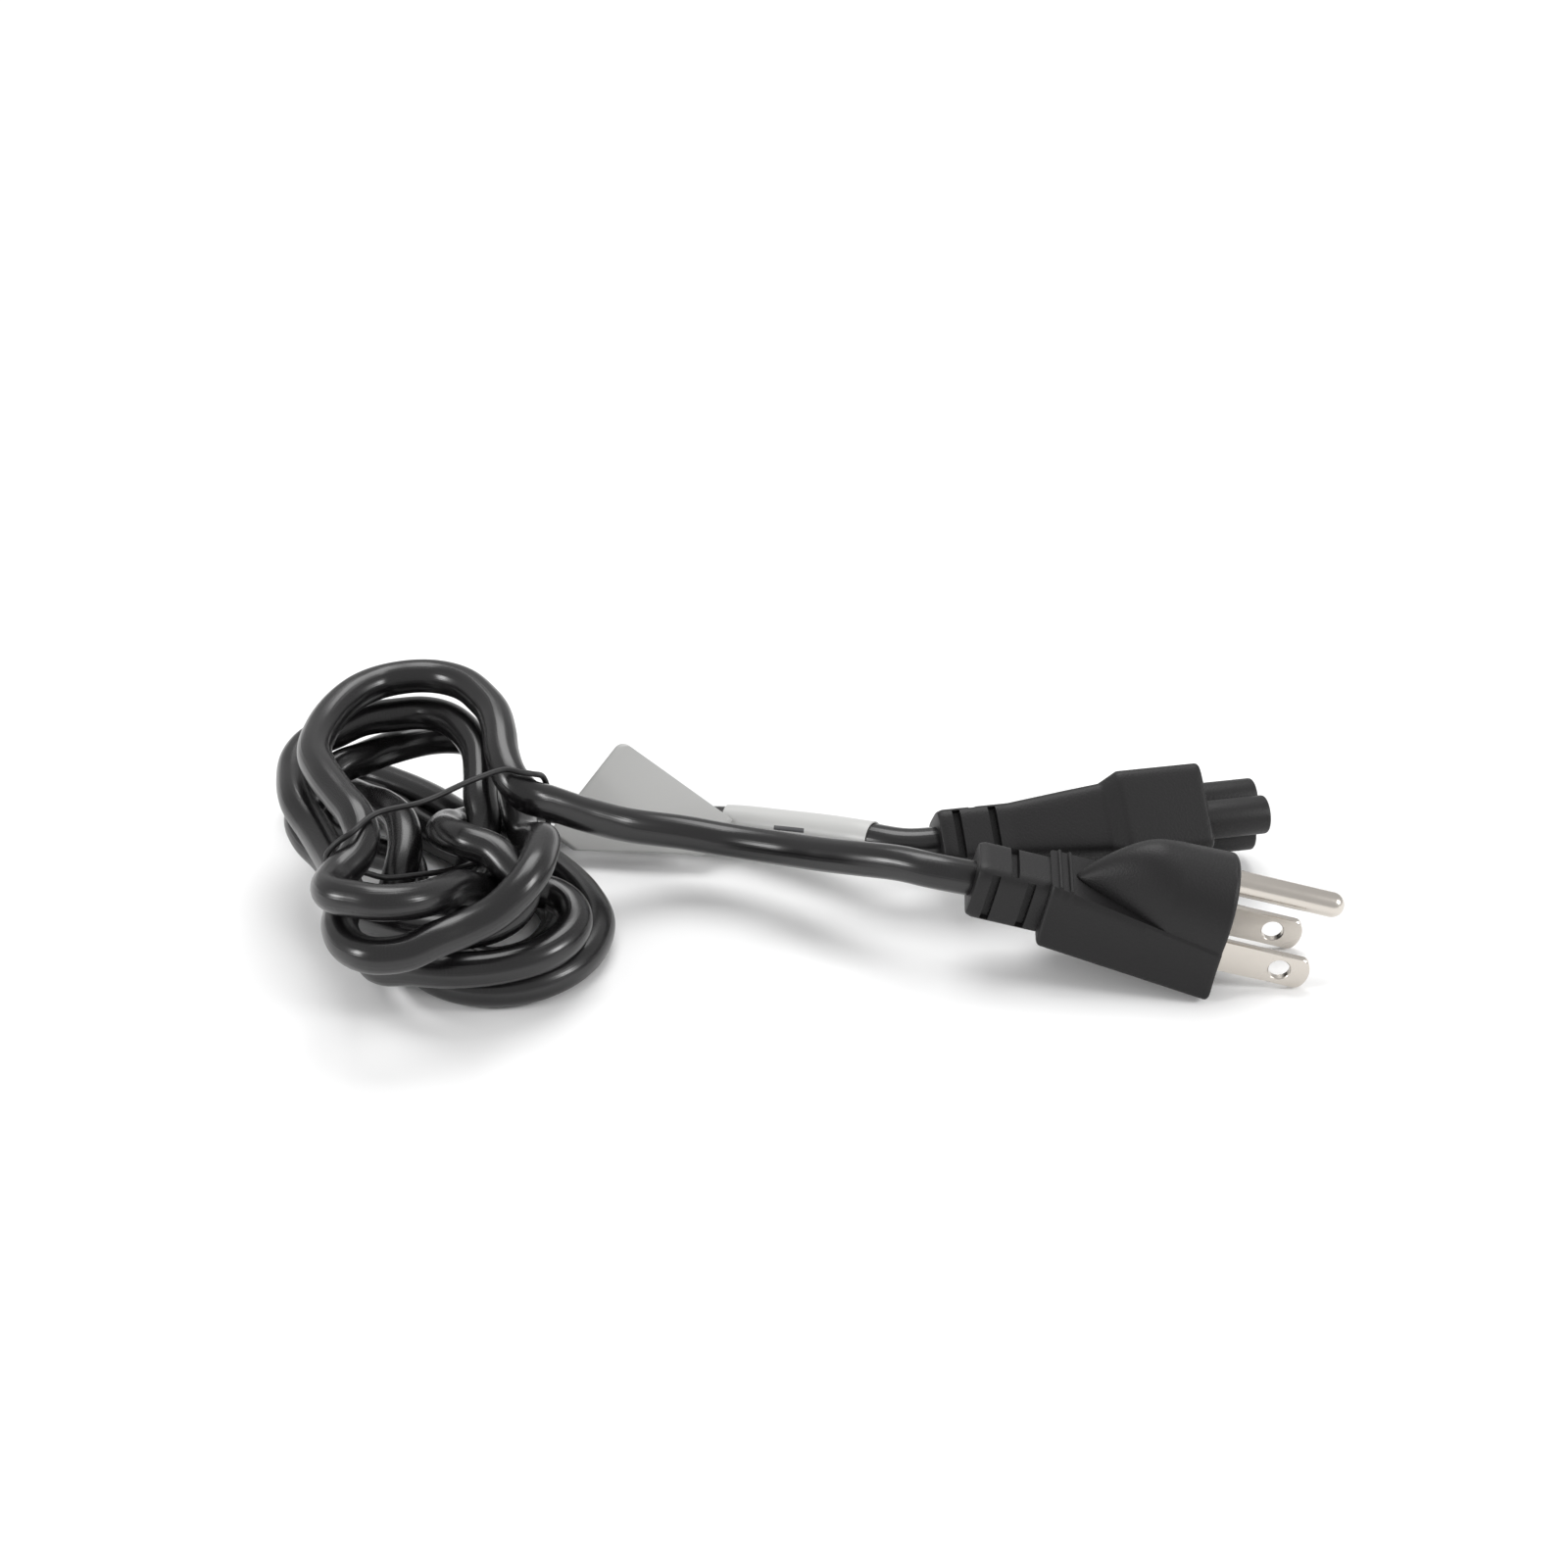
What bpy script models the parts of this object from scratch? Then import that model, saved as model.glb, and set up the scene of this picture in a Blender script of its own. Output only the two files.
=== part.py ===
"""A cloverleaf power cord: a grounded plug, a round cord in a tied hank, and a three-lobed connector."""

import math

import bmesh
import bpy
from mathutils import Matrix, Vector

# Sizes, in millimetres
CORD_DIAMETER = 6.6
PIN_SPACING = 12.7
BLADE_WIDTH = 6.35
BLADE_THICKNESS = 1.5
BLADE_LENGTH = 17.5
BLADE_HOLE_DIAMETER = 4.0
BLADE_HOLE_DISTANCE = 11.9
GROUND_DIAMETER = 4.75
GROUND_LENGTH = 21.0
GROUND_HEIGHT = 11.9
PIN_ROOT = 3.0

PLUG_BODY_LENGTH = 33.0
PLUG_RELIEF_LENGTH = 13.3
PLUG_RELIEF_WIDTH = 11.6
PLUG_FACE_BOTTOM = 6.8
PLUG_FACE_TOP = 16.5
PLUG_FACE_BOTTOM_WIDTH = 25.6
PLUG_FACE_CREASE = 2.3
PLUG_FACE_CREASE_WIDTH = 22.0
PLUG_REAR_BOTTOM = 5.7
PLUG_REAR_BOTTOM_WIDTH = 18.0
PLUG_REAR_CREASE = 5.8
PLUG_REAR_CREASE_WIDTH = 13.0
DOME_LENGTH = 28.0
DOME_SLOPE_LENGTH = 14.5
PLUG_EDGE = 0.9

LINE_SPACING = 10.0
EARTH_OFFSET = 5.3
LOBE_DIAMETER = 7.5
LOBE_LENGTH = 12.0
SOCKET_DIAMETER = 2.8
SOCKET_DEPTH = 10.0
CONNECTOR_BLOCK_LENGTH = 16.5
CONNECTOR_BLOCK_WIDTH = 17.6
CONNECTOR_FLARE_LENGTH = 3.5
CONNECTOR_NECK_LENGTH = 18.0
CONNECTOR_NECK_WIDTH = 14.4
CONNECTOR_RELIEF_LENGTH = 14.0
CONNECTOR_RELIEF_WIDTH = 11.4
LOBES_BELOW_AXIS = 2.4

SLOT_WIDTH = 1.5
SLOT_DEPTH = 1.5
RELIEF_END_TAPER = 0.6
SOCKET_FOR_CORD = 2.0

TIE_DIAMETER = 1.1
LABEL_THICKNESS = 0.25
FLAG_WIDTH = 23.4
FLAG_HEIGHT = 27.9
FLAG_CORNER_RADIUS = 2.0
WRAP_LENGTH = 33.2
WRAP_TO_RELIEF = 14.5

CLEARANCE = 0.3

# Where the two mouldings lie: the plug's pins meet its face here, and the connector's lobes end here
PLUG_PLACE = (74.7, -38.4, 7.05)
PLUG_HEADING = -3.0
PLUG_DIP = 13.5
CONNECTOR_PLACE = (87.6, -4.3, 10.2)
CONNECTOR_HEADING = 11.0
CONNECTOR_ROLL = 50.0
FLAG_CORNER = (-37.2, 12.4, 19.1)
FLAG_SIDE = (-14.0, -12.7, -13.7)
FLAG_DROP = (22.1, -13.4, -10.7)

# The middle of the object's outline, which moves to the origin
MIDDLE = (-3.68, -20.62, 0.12)

# The cord's route from the plug to the connector
ROUTE = (
    (28.1, -36.6, 18.1), (22.6, -35.9, 19.3), (16.6, -32.9, 19.0), (10.0, -28.7, 17.3),
    (3.0, -23.3, 14.8), (-5.0, -17.2, 12.3), (-16.0, -12.0, 11.0), (-24.0, -11.0, 12.0),
    (-35.0, -13.0, 15.0), (-42.0, -16.0, 19.0), (-49.0, -19.5, 24.0), (-53.0, -21.0, 26.5),
    (-56.0, -18.5, 28.8), (-58.0, -13.0, 30.5), (-59.0, -7.0, 31.8), (-60.5, -1.0, 32.6),
    (-62.5, 3.0, 33.0), (-67.0, 9.0, 33.5), (-72.0, 12.0, 33.5), (-77.0, 12.5, 33.5),
    (-83.0, 11.5, 33.0), (-87.5, 7.5, 33.0), (-91.0, 1.5, 32.5), (-93.0, -6.0, 32.0),
    (-93.0, -15.0, 32.0), (-90.0, -23.0, 32.0), (-86.0, -30.0, 31.5), (-82.5, -36.0, 31.0),
    (-81.0, -40.5, 29.5), (-82.0, -45.5, 28.0), (-84.5, -50.5, 27.5), (-85.0, -55.0, 28.0),
    (-83.0, -59.0, 29.0), (-79.0, -61.0, 29.5), (-75.0, -62.0, 29.5), (-70.0, -60.0, 28.5),
    (-66.0, -55.0, 26.5), (-63.0, -47.5, 23.2), (-60.0, -41.0, 18.2), (-56.0, -36.0, 14.5),
    (-52.0, -33.5, 13.4), (-48.0, -33.0, 12.3), (-44.7, -35.5, 11.5), (-43.3, -40.0, 10.9),
    (-44.5, -45.0, 10.6), (-48.0, -49.5, 10.4), (-52.0, -52.0, 10.3), (-58.0, -54.0, 10.2),
    (-65.0, -55.0, 10.4), (-72.0, -53.0, 9.5), (-77.5, -49.0, 6.8), (-80.2, -44.3, 5.3),
    (-80.3, -40.0, 6.0), (-79.5, -36.5, 8.3), (-77.6, -32.5, 11.6), (-76.5, -29.5, 14.5),
    (-76.0, -24.0, 17.0), (-77.5, -17.0, 18.0), (-81.5, -9.0, 16.5), (-87.0, 0.0, 12.8),
    (-93.0, 7.0, 10.9), (-99.5, 13.0, 9.2), (-102.0, 19.0, 5.8), (-97.0, 24.0, 3.8),
    (-90.0, 24.5, 3.4), (-83.0, 20.5, 3.4), (-76.0, 15.0, 3.4), (-69.0, 8.0, 3.4),
    (-61.0, 2.0, 3.4), (-54.0, -5.0, 3.4), (-48.0, -12.0, 3.4), (-43.0, -20.0, 3.4),
    (-40.0, -29.0, 3.4), (-41.0, -38.0, 3.4), (-45.0, -45.0, 3.4), (-51.0, -49.5, 3.4),
    (-58.0, -51.0, 3.4), (-65.0, -49.5, 3.4), (-71.0, -44.5, 3.4), (-74.0, -36.0, 3.4),
    (-75.0, -28.0, 4.0), (-76.0, -19.0, 5.0), (-78.0, -12.0, 6.0), (-83.5, -8.0, 5.5),
    (-90.0, -4.0, 4.6), (-95.0, 2.0, 3.8), (-95.0, 9.0, 3.4), (-90.0, 14.0, 3.4),
    (-84.0, 12.0, 3.4), (-78.0, 5.0, 3.4), (-70.0, -2.5, 3.4), (-62.0, -10.0, 4.0),
    (-54.0, -18.0, 5.0), (-50.0, -23.0, 4.5), (-47.5, -28.0, 3.6), (-48.0, -33.5, 3.4),
    (-51.0, -39.5, 3.4), (-55.5, -42.5, 3.4), (-60.0, -43.0, 3.4), (-64.5, -40.5, 4.0),
    (-66.5, -35.5, 6.0), (-66.0, -33.0, 9.0), (-65.0, -30.0, 12.0), (-63.5, -27.0, 14.0),
    (-62.5, -23.0, 15.5), (-61.6, -18.0, 18.5), (-62.5, -14.0, 21.5), (-63.0, -8.0, 23.5),
    (-64.0, -2.0, 25.0), (-67.0, 4.0, 26.0), (-71.0, 9.0, 26.0), (-76.0, 12.0, 25.5),
    (-82.0, 12.0, 25.0), (-88.0, 10.0, 25.0), (-93.0, 7.0, 24.0), (-97.0, 4.0, 23.5),
    (-99.0, -1.0, 23.0), (-99.0, -7.0, 22.5), (-97.0, -16.0, 22.0), (-93.0, -23.0, 20.5),
    (-90.0, -29.0, 20.0), (-87.0, -36.0, 20.0), (-85.0, -43.0, 20.3), (-84.0, -50.0, 20.3),
    (-83.5, -56.5, 20.3), (-81.0, -62.0, 20.3), (-76.5, -65.5, 20.8), (-71.0, -65.0, 21.0),
    (-66.0, -62.5, 22.0), (-61.0, -59.5, 22.5), (-56.0, -57.0, 24.0), (-52.0, -54.0, 26.5),
    (-49.5, -49.5, 28.0), (-48.7, -44.0, 28.0), (-48.7, -38.0, 27.0), (-50.5, -31.0, 23.0),
    (-53.5, -22.0, 17.8), (-56.0, -11.0, 17.5), (-57.5, -3.5, 17.5), (-59.5, 4.0, 17.5),
    (-62.0, 11.0, 17.5), (-66.0, 15.5, 17.0), (-71.0, 17.0, 17.0), (-76.0, 16.5, 17.0),
    (-83.0, 12.0, 17.5), (-88.0, 5.5, 18.7), (-92.0, 1.0, 19.1), (-96.0, -3.5, 16.0),
    (-98.0, -9.0, 14.0), (-96.0, -14.0, 12.5), (-92.0, -19.0, 11.5), (-88.5, -25.0, 11.0),
    (-86.0, -31.0, 10.8), (-84.8, -37.0, 13.2), (-80.0, -44.0, 14.0), (-74.0, -48.5, 15.5),
    (-69.0, -50.0, 15.7), (-62.5, -50.1, 15.5), (-57.0, -48.6, 16.1), (-53.5, -46.0, 17.5),
    (-52.3, -42.5, 20.0), (-55.3, -39.0, 22.7), (-58.0, -36.5, 24.0), (-63.0, -34.0, 24.5),
    (-67.0, -29.0, 23.0), (-68.6, -24.0, 20.5), (-68.6, -17.5, 17.5), (-68.0, -12.0, 14.0),
    (-65.5, -7.5, 12.2), (-60.0, -2.0, 10.7), (-55.0, 2.0, 10.3), (-50.0, 6.8, 6.8),
    (-44.1, 8.3, 4.6), (-36.2, 7.3, 3.7), (-24.4, 5.4, 4.2), (-14.6, 2.8, 5.6),
    (-4.9, -1.8, 7.3), (4.7, -8.0, 9.8), (11.6, -12.6, 11.4), (18.5, -15.4, 11.9),
    (24.4, -14.7, 11.7),
)

# The tie's course round the upper strands
TIE = (
    (-86.8, -45.6, 28.5), (-84.8, -45.6, 31.3), (-82.0, -44.8, 33.1), (-78.4, -39.2, 33.6),
    (-70.3, -34.3, 33.2), (-62.2, -26.0, 32.8), (-56.4, -21.8, 32.6), (-54.0, -21.6, 31.9),
    (-51.7, -20.6, 30.9), (-50.1, -16.8, 27.9), (-49.5, -15.1, 23.0), (-49.6, -17.0, 18.0),
    (-50.6, -18.8, 14.6), (-53.0, -21.0, 13.0), (-59.8, -27.8, 17.1), (-66.0, -32.5, 17.4), (-72.0, -36.0, 18.5),
    (-77.5, -40.5, 20.8), (-82.0, -43.2, 24.0), (-86.0, -45.2, 25.0),
)

MM = 0.001
POLY_STEP = 9.0
POLY_TURN = math.radians(20)


def collection(name, helper):
    made = bpy.data.collections.new(name)
    made.hide_render = helper
    bpy.context.scene.collection.children.link(made)
    return made


def clear_scene():
    for obj in list(bpy.data.objects):
        bpy.data.objects.remove(obj)


def material(name, colour, roughness, metallic=0.0):
    made = bpy.data.materials.new(name)
    made.use_nodes = True
    shader = made.node_tree.nodes["Principled BSDF"]
    shader.inputs["Base Color"].default_value = (*colour, 1.0)
    shader.inputs["Roughness"].default_value = roughness
    shader.inputs["Metallic"].default_value = metallic
    return made


def add(name, mesh, where, look=None, parent=None):
    obj = bpy.data.objects.new(name, mesh)
    where.objects.link(obj)
    if where.hide_render:
        obj.hide_render = True
        obj.display_type = "WIRE"
    if look:
        mesh.materials.append(look)
        mesh.shade_smooth()
        mesh.set_sharp_from_angle(angle=math.radians(35))
    obj.parent = parent
    return obj


def mesh_from(points, faces):
    mesh = bpy.data.meshes.new("shape")
    mesh.from_pydata([Vector(p) * MM for p in points], [], faces)
    shape = bmesh.new()
    shape.from_mesh(mesh)
    bmesh.ops.recalc_face_normals(shape, faces=shape.faces)
    shape.to_mesh(mesh)
    shape.free()
    return mesh


def loft(rings):
    """Closed rings with the same number of points, joined one after another and capped."""
    count = len(rings[0])
    points = [p for ring in rings for p in ring]
    faces = []
    for i in range(len(rings) - 1):
        for j in range(count):
            k = (j + 1) % count
            faces.append((i * count + j, i * count + k, (i + 1) * count + k, (i + 1) * count + j))
    faces.append(tuple(range(count)))
    faces.append(tuple((len(rings) - 1) * count + j for j in range(count)))
    return mesh_from(points, faces)


def rounded_square(x, half, corner):
    """A square ring across the axis, each corner rounded with four points."""
    ring = []
    for quarter in range(4):
        middle = math.radians(45 + 90 * quarter)
        cy = math.copysign(half - corner, math.cos(middle))
        cz = math.copysign(half - corner, math.sin(middle))
        for step in range(4):
            angle = math.radians(90 * quarter + 30 * step)
            ring.append((x, cy + corner * math.cos(angle), cz + corner * math.sin(angle)))
    return ring


def block(size, centre):
    sx, sy, sz = (s / 2 for s in size)
    x, y, z = centre
    points = [
        (x + a * sx, y + b * sy, z + c * sz) for a in (-1, 1) for b in (-1, 1) for c in (-1, 1)
    ]
    faces = [(0, 1, 3, 2), (4, 6, 7, 5), (0, 4, 5, 1), (2, 3, 7, 6), (0, 2, 6, 4), (1, 5, 7, 3)]
    return mesh_from(points, faces)


def rod(profile, centre, steps):
    """A round rod along x: the profile lists (x, radius) from one flat end to the other."""
    y, z = centre
    rings = []
    for x, radius in profile:
        ring = []
        for step in range(steps):
            angle = 2 * math.pi * step / steps
            ring.append((x, y + radius * math.cos(angle), z + radius * math.sin(angle)))
        rings.append(ring)
    return loft(rings)


def boolean(obj, other, operation):
    modifier = obj.modifiers.new(operation.lower(), "BOOLEAN")
    modifier.operation = operation
    modifier.solver = "EXACT"
    modifier.object = other


def place(name, position, heading, dip, roll, where):
    """An empty whose x axis is the moulding's axis."""
    empty = bpy.data.objects.new(name, None)
    where.objects.link(empty)
    turn = (
        Matrix.Rotation(math.radians(heading), 4, "Z")
        @ Matrix.Rotation(math.radians(dip), 4, "Y")
        @ Matrix.Rotation(math.radians(roll), 4, "X")
    )
    spot = (Vector(position) - Vector(MIDDLE)) * MM
    empty.matrix_world = Matrix.Translation(spot) @ turn
    return empty


def smooth_route(points, closed=False):
    """A smooth curve through the points (centripetal), every half millimetre or so."""
    points = [Vector(p) - Vector(MIDDLE) for p in points]
    if closed:
        points = [points[-1], *points, points[0], points[1]]
    else:
        points = [2 * points[0] - points[1], *points, 2 * points[-1] - points[-2]]
    found = []
    for i in range(1, len(points) - 2):
        p0, p1, p2, p3 = points[i - 1 : i + 3]
        t1 = (p1 - p0).length ** 0.5
        t2 = t1 + (p2 - p1).length ** 0.5
        t3 = t2 + (p3 - p2).length ** 0.5
        count = max(2, math.ceil((p2 - p1).length / 0.5))
        for step in range(count):
            t = t1 + (t2 - t1) * step / count
            a1 = p0.lerp(p1, t / t1)
            a2 = p1.lerp(p2, (t - t1) / (t2 - t1))
            a3 = p2.lerp(p3, (t - t2) / (t3 - t2))
            b1 = a1.lerp(a2, t / t2)
            b2 = a2.lerp(a3, (t - t1) / (t3 - t1))
            found.append(b1.lerp(b2, (t - t1) / (t2 - t1)))
    if not closed:
        found.append(points[-2])
    return found


def thin_out(points, longest, most_turn):
    """Fewer points on the same curve: a new one after each longest step or each turn of most_turn."""
    kept = [points[0]]
    travelled = 0.0
    turned = 0.0
    for before, here, after in zip(points, points[1:], points[2:]):
        travelled += (here - before).length
        turned += (here - before).angle(after - here, 0.0)
        if travelled >= longest or turned >= most_turn:
            kept.append(here)
            travelled = 0.0
            turned = 0.0
    if (points[-1] - kept[-1]).length < longest / 4:
        kept.pop()
    kept.append(points[-1])
    return kept


def cut_back(points, length):
    """The curve without its first millimetres."""
    left = length
    for i in range(len(points) - 1):
        step = (points[i + 1] - points[i]).length
        if step > left:
            return [points[i].lerp(points[i + 1], left / step), *points[i + 1 :]]
        left -= step
    return points[-2:]


def wire(name, points, diameter, closed, detail, where, look):
    curve = bpy.data.curves.new(name, "CURVE")
    curve.dimensions = "3D"
    curve.bevel_depth = diameter / 2 * MM
    curve.bevel_resolution = detail
    curve.use_fill_caps = not closed
    line = curve.splines.new("POLY")
    line.points.add(len(points) - 1)
    line.use_cyclic_u = closed
    for spot, point in zip(line.points, points):
        spot.co = (*(point * MM), 1.0)
    curve.materials.append(look)
    obj = bpy.data.objects.new(name, curve)
    where.objects.link(obj)
    return obj


def plug_section(x, shrink):
    """The plug's outline at x behind its face: a flat-sided foot with an arch on it that swells to the dome."""
    along = 1 + x / PLUG_BODY_LENGTH
    bottom = -(PLUG_REAR_BOTTOM + (PLUG_FACE_BOTTOM - PLUG_REAR_BOTTOM) * along) + shrink
    foot = (PLUG_REAR_BOTTOM_WIDTH + (PLUG_FACE_BOTTOM_WIDTH - PLUG_REAR_BOTTOM_WIDTH) * along) / 2
    crease = PLUG_REAR_CREASE + (PLUG_FACE_CREASE - PLUG_REAR_CREASE) * along
    waist = (PLUG_REAR_CREASE_WIDTH + (PLUG_FACE_CREASE_WIDTH - PLUG_REAR_CREASE_WIDTH) * along) / 2
    foot -= shrink
    waist -= shrink
    rise = min(max((x + DOME_LENGTH) / DOME_SLOPE_LENGTH, 0.0), 1.0)
    rise = math.sin(math.pi / 2 * rise) ** 0.85
    arch = PLUG_EDGE / 3 + (PLUG_FACE_TOP - PLUG_EDGE / 3 - crease) * rise - shrink * rise
    ring = [
        (x, foot - PLUG_EDGE, bottom),
        (x, foot, bottom + PLUG_EDGE),
    ]
    for step in range(15):
        angle = math.pi * step / 14
        ring.append((x, waist * math.cos(angle), crease + arch * math.sin(angle)))
    ring.append((x, -foot, bottom + PLUG_EDGE))
    ring.append((x, -foot + PLUG_EDGE, bottom))
    return ring


def relief_slots(body, rear, length, width, parent, where):
    """Slots across a strain relief, by turns in its sides and in its top and bottom."""
    pitch = length / 4
    for number in range(3):
        x = rear + pitch * (number + 1)
        for side in (-1, 1):
            reach = side * width / 2
            size = (SLOT_WIDTH, 2 * SLOT_DEPTH, width * 0.8)
            centre = (x, reach, 0.0)
            if number == 1:
                size = (SLOT_WIDTH, width * 0.8, 2 * SLOT_DEPTH)
                centre = (x, 0.0, reach)
            cutter = add(f"{parent.name}_slot", block(size, centre), where, parent=parent)
            boolean(body, cutter, "DIFFERENCE")


def make_plug(parts, cutters, looks):
    base = place("plug_place", PLUG_PLACE, PLUG_HEADING, PLUG_DIP, 0.0, cutters)
    long = PLUG_BODY_LENGTH
    stations = [-long + PLUG_EDGE]
    stations += [-DOME_LENGTH + DOME_SLOPE_LENGTH * part for part in (-0.05, 0.05, 0.15, 0.3, 0.5, 0.75, 1)]
    stations += [-DOME_LENGTH * 0.22, -PLUG_EDGE]
    rings = [plug_section(-long, PLUG_EDGE * 0.8)]
    rings += [plug_section(x, 0.0) for x in stations]
    rings.append(plug_section(0.0, PLUG_EDGE * 0.8))
    body = add("plug_body", loft(rings), parts, looks["moulding"], base)
    rear = -long - PLUG_RELIEF_LENGTH
    half = PLUG_RELIEF_WIDTH / 2
    relief = add(
        "plug_relief",
        loft([
            rounded_square(rear, half - 2 * RELIEF_END_TAPER, 1.6),
            rounded_square(rear + RELIEF_END_TAPER, half - RELIEF_END_TAPER, 2.0),
            rounded_square(-long + 2.0, half, 2.0),
        ]),
        cutters,
        parent=base,
    )
    boolean(body, relief, "UNION")
    relief_slots(body, rear, PLUG_RELIEF_LENGTH, PLUG_RELIEF_WIDTH, base, cutters)
    bore = CORD_DIAMETER / 2 + CLEARANCE
    hole = add(
        "plug_bore", rod([(rear - 1.0, bore), (rear + SOCKET_FOR_CORD, bore)], (0, 0), 24), cutters, parent=base
    )
    boolean(body, hole, "DIFFERENCE")
    gap = 2 * CLEARANCE
    for side, name in ((1, "left"), (-1, "right")):
        y = side * PIN_SPACING / 2
        pocket = add(
            f"blade_pocket_{name}",
            block((2 * (PIN_ROOT + CLEARANCE), BLADE_THICKNESS + gap, BLADE_WIDTH + gap), (0, y, 0)),
            cutters,
            parent=base,
        )
        boolean(body, pocket, "DIFFERENCE")
        make_blade(f"plug_blade_{name}", y, base, parts, cutters, looks)
    reach = PIN_ROOT + CLEARANCE
    pocket = add(
        "ground_pocket",
        rod([(-reach, GROUND_DIAMETER / 2 + CLEARANCE), (reach, GROUND_DIAMETER / 2 + CLEARANCE)], (0, GROUND_HEIGHT), 24),
        cutters,
        parent=base,
    )
    boolean(body, pocket, "DIFFERENCE")
    radius = GROUND_DIAMETER / 2
    profile = [(-PIN_ROOT, radius)]
    for angle in (0, 25, 50, 70):
        turn = math.radians(angle)
        profile.append((GROUND_LENGTH - radius * (1 - math.sin(turn)), radius * math.cos(turn)))
    profile.append((GROUND_LENGTH, radius * 0.12))
    add("plug_ground_pin", rod(profile, (0, GROUND_HEIGHT), 24), parts, looks["nickel"], base)
    return base


def make_blade(name, y, base, parts, cutters, looks):
    """A flat blade with a rounded end and a hole."""
    half = BLADE_WIDTH / 2
    outline = [(-PIN_ROOT, -half)]
    for step in range(7):
        angle = math.radians(-90 + 30 * step)
        outline.append((BLADE_LENGTH - half * 0.6 * (1 - math.cos(angle)), half * math.sin(angle)))
    outline.append((-PIN_ROOT, half))
    rings = []
    for offset in (-BLADE_THICKNESS / 2, BLADE_THICKNESS / 2):
        rings.append([(x, y + offset, z) for x, z in outline])
    blade = add(name, loft(rings), parts, looks["nickel"], base)
    hole_rings = []
    for offset in (-BLADE_THICKNESS, BLADE_THICKNESS):
        ring = []
        for step in range(20):
            angle = 2 * math.pi * step / 20
            x = BLADE_HOLE_DISTANCE + BLADE_HOLE_DIAMETER / 2 * math.cos(angle)
            ring.append((x, y + offset, BLADE_HOLE_DIAMETER / 2 * math.sin(angle)))
        hole_rings.append(ring)
    hole = add(f"{name}_hole", loft(hole_rings), cutters, parent=base)
    boolean(blade, hole, "DIFFERENCE")


def make_connector(parts, cutters, looks):
    base = place("connector_place", CONNECTOR_PLACE, CONNECTOR_HEADING, 0.0, -CONNECTOR_ROLL, cutters)
    axis = LOBES_BELOW_AXIS
    front = -LOBE_LENGTH
    flare = front - CONNECTOR_BLOCK_LENGTH
    neck = flare - CONNECTOR_FLARE_LENGTH
    shoulder = neck - CONNECTOR_NECK_LENGTH
    rear = shoulder - CONNECTOR_RELIEF_LENGTH
    wide = CONNECTOR_BLOCK_WIDTH / 2
    slim = CONNECTOR_RELIEF_WIDTH / 2
    rings = [
        rounded_square(rear, slim - 2 * RELIEF_END_TAPER, 1.6),
        rounded_square(rear + RELIEF_END_TAPER, slim - RELIEF_END_TAPER, 2.0),
        rounded_square(shoulder, slim, 2.0),
        rounded_square(neck - CONNECTOR_NECK_LENGTH / 3, CONNECTOR_NECK_WIDTH / 2 * 0.94, 2.2),
        rounded_square(neck, CONNECTOR_NECK_WIDTH / 2, 2.2),
        rounded_square(neck + CONNECTOR_FLARE_LENGTH * 0.5, CONNECTOR_NECK_WIDTH / 4 + wide / 2, 2.2),
        rounded_square(flare, wide, 2.2),
        rounded_square(front - PLUG_EDGE, wide, 2.2),
        rounded_square(front, wide - PLUG_EDGE * 0.8, 1.8),
    ]
    rings = [[(x, y, z + axis) for x, y, z in ring] for ring in rings]
    body = add("connector_body", loft(rings), parts, looks["moulding"], base)
    spots = ((LINE_SPACING / 2, 0.0), (-LINE_SPACING / 2, 0.0), (0.0, EARTH_OFFSET))
    radius = LOBE_DIAMETER / 2
    inside = front - 2.0
    for number, spot in enumerate(spots):
        profile = [(inside, radius), (-0.5, radius), (0.0, radius - 0.5)]
        lobe = add(f"lobe_{number}", rod(profile, spot, 24), cutters, parent=base)
        boolean(body, lobe, "UNION")
    core = (0.0, EARTH_OFFSET / 3)
    middle = add("lobe_core", rod([(inside, radius), (-0.5, radius)], core, 20), cutters, parent=base)
    boolean(body, middle, "UNION")
    for number, spot in enumerate(spots):
        profile = [(-SOCKET_DEPTH, SOCKET_DIAMETER / 2), (1.0, SOCKET_DIAMETER / 2)]
        cutter = add(f"pin_socket_{number}", rod(profile, spot, 16), cutters, parent=base)
        boolean(body, cutter, "DIFFERENCE")
    pitch = CONNECTOR_RELIEF_LENGTH / 4
    for number in range(3):
        x = rear + pitch * (number + 1)
        for side in (-1, 1):
            size = (SLOT_WIDTH, 2 * SLOT_DEPTH, CONNECTOR_RELIEF_WIDTH * 0.8)
            centre = (x, side * slim, axis)
            if number == 1:
                size = (SLOT_WIDTH, CONNECTOR_RELIEF_WIDTH * 0.8, 2 * SLOT_DEPTH)
                centre = (x, 0.0, axis + side * slim)
            cutter = add("connector_slot", block(size, centre), cutters, parent=base)
            boolean(body, cutter, "DIFFERENCE")
    bore = CORD_DIAMETER / 2 + CLEARANCE
    hole = add(
        "connector_bore",
        rod([(rear - 1.0, bore), (rear + SOCKET_FOR_CORD, bore)], (0, axis), 24),
        cutters,
        parent=base,
    )
    boolean(body, hole, "DIFFERENCE")
    return base


def wrap_ring(centre, across, up, radius):
    ring = []
    for step in range(16):
        angle = 2 * math.pi * step / 16
        ring.append(centre + across * (radius * math.cos(angle)) + up * (radius * math.sin(angle)))
    return ring


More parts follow.
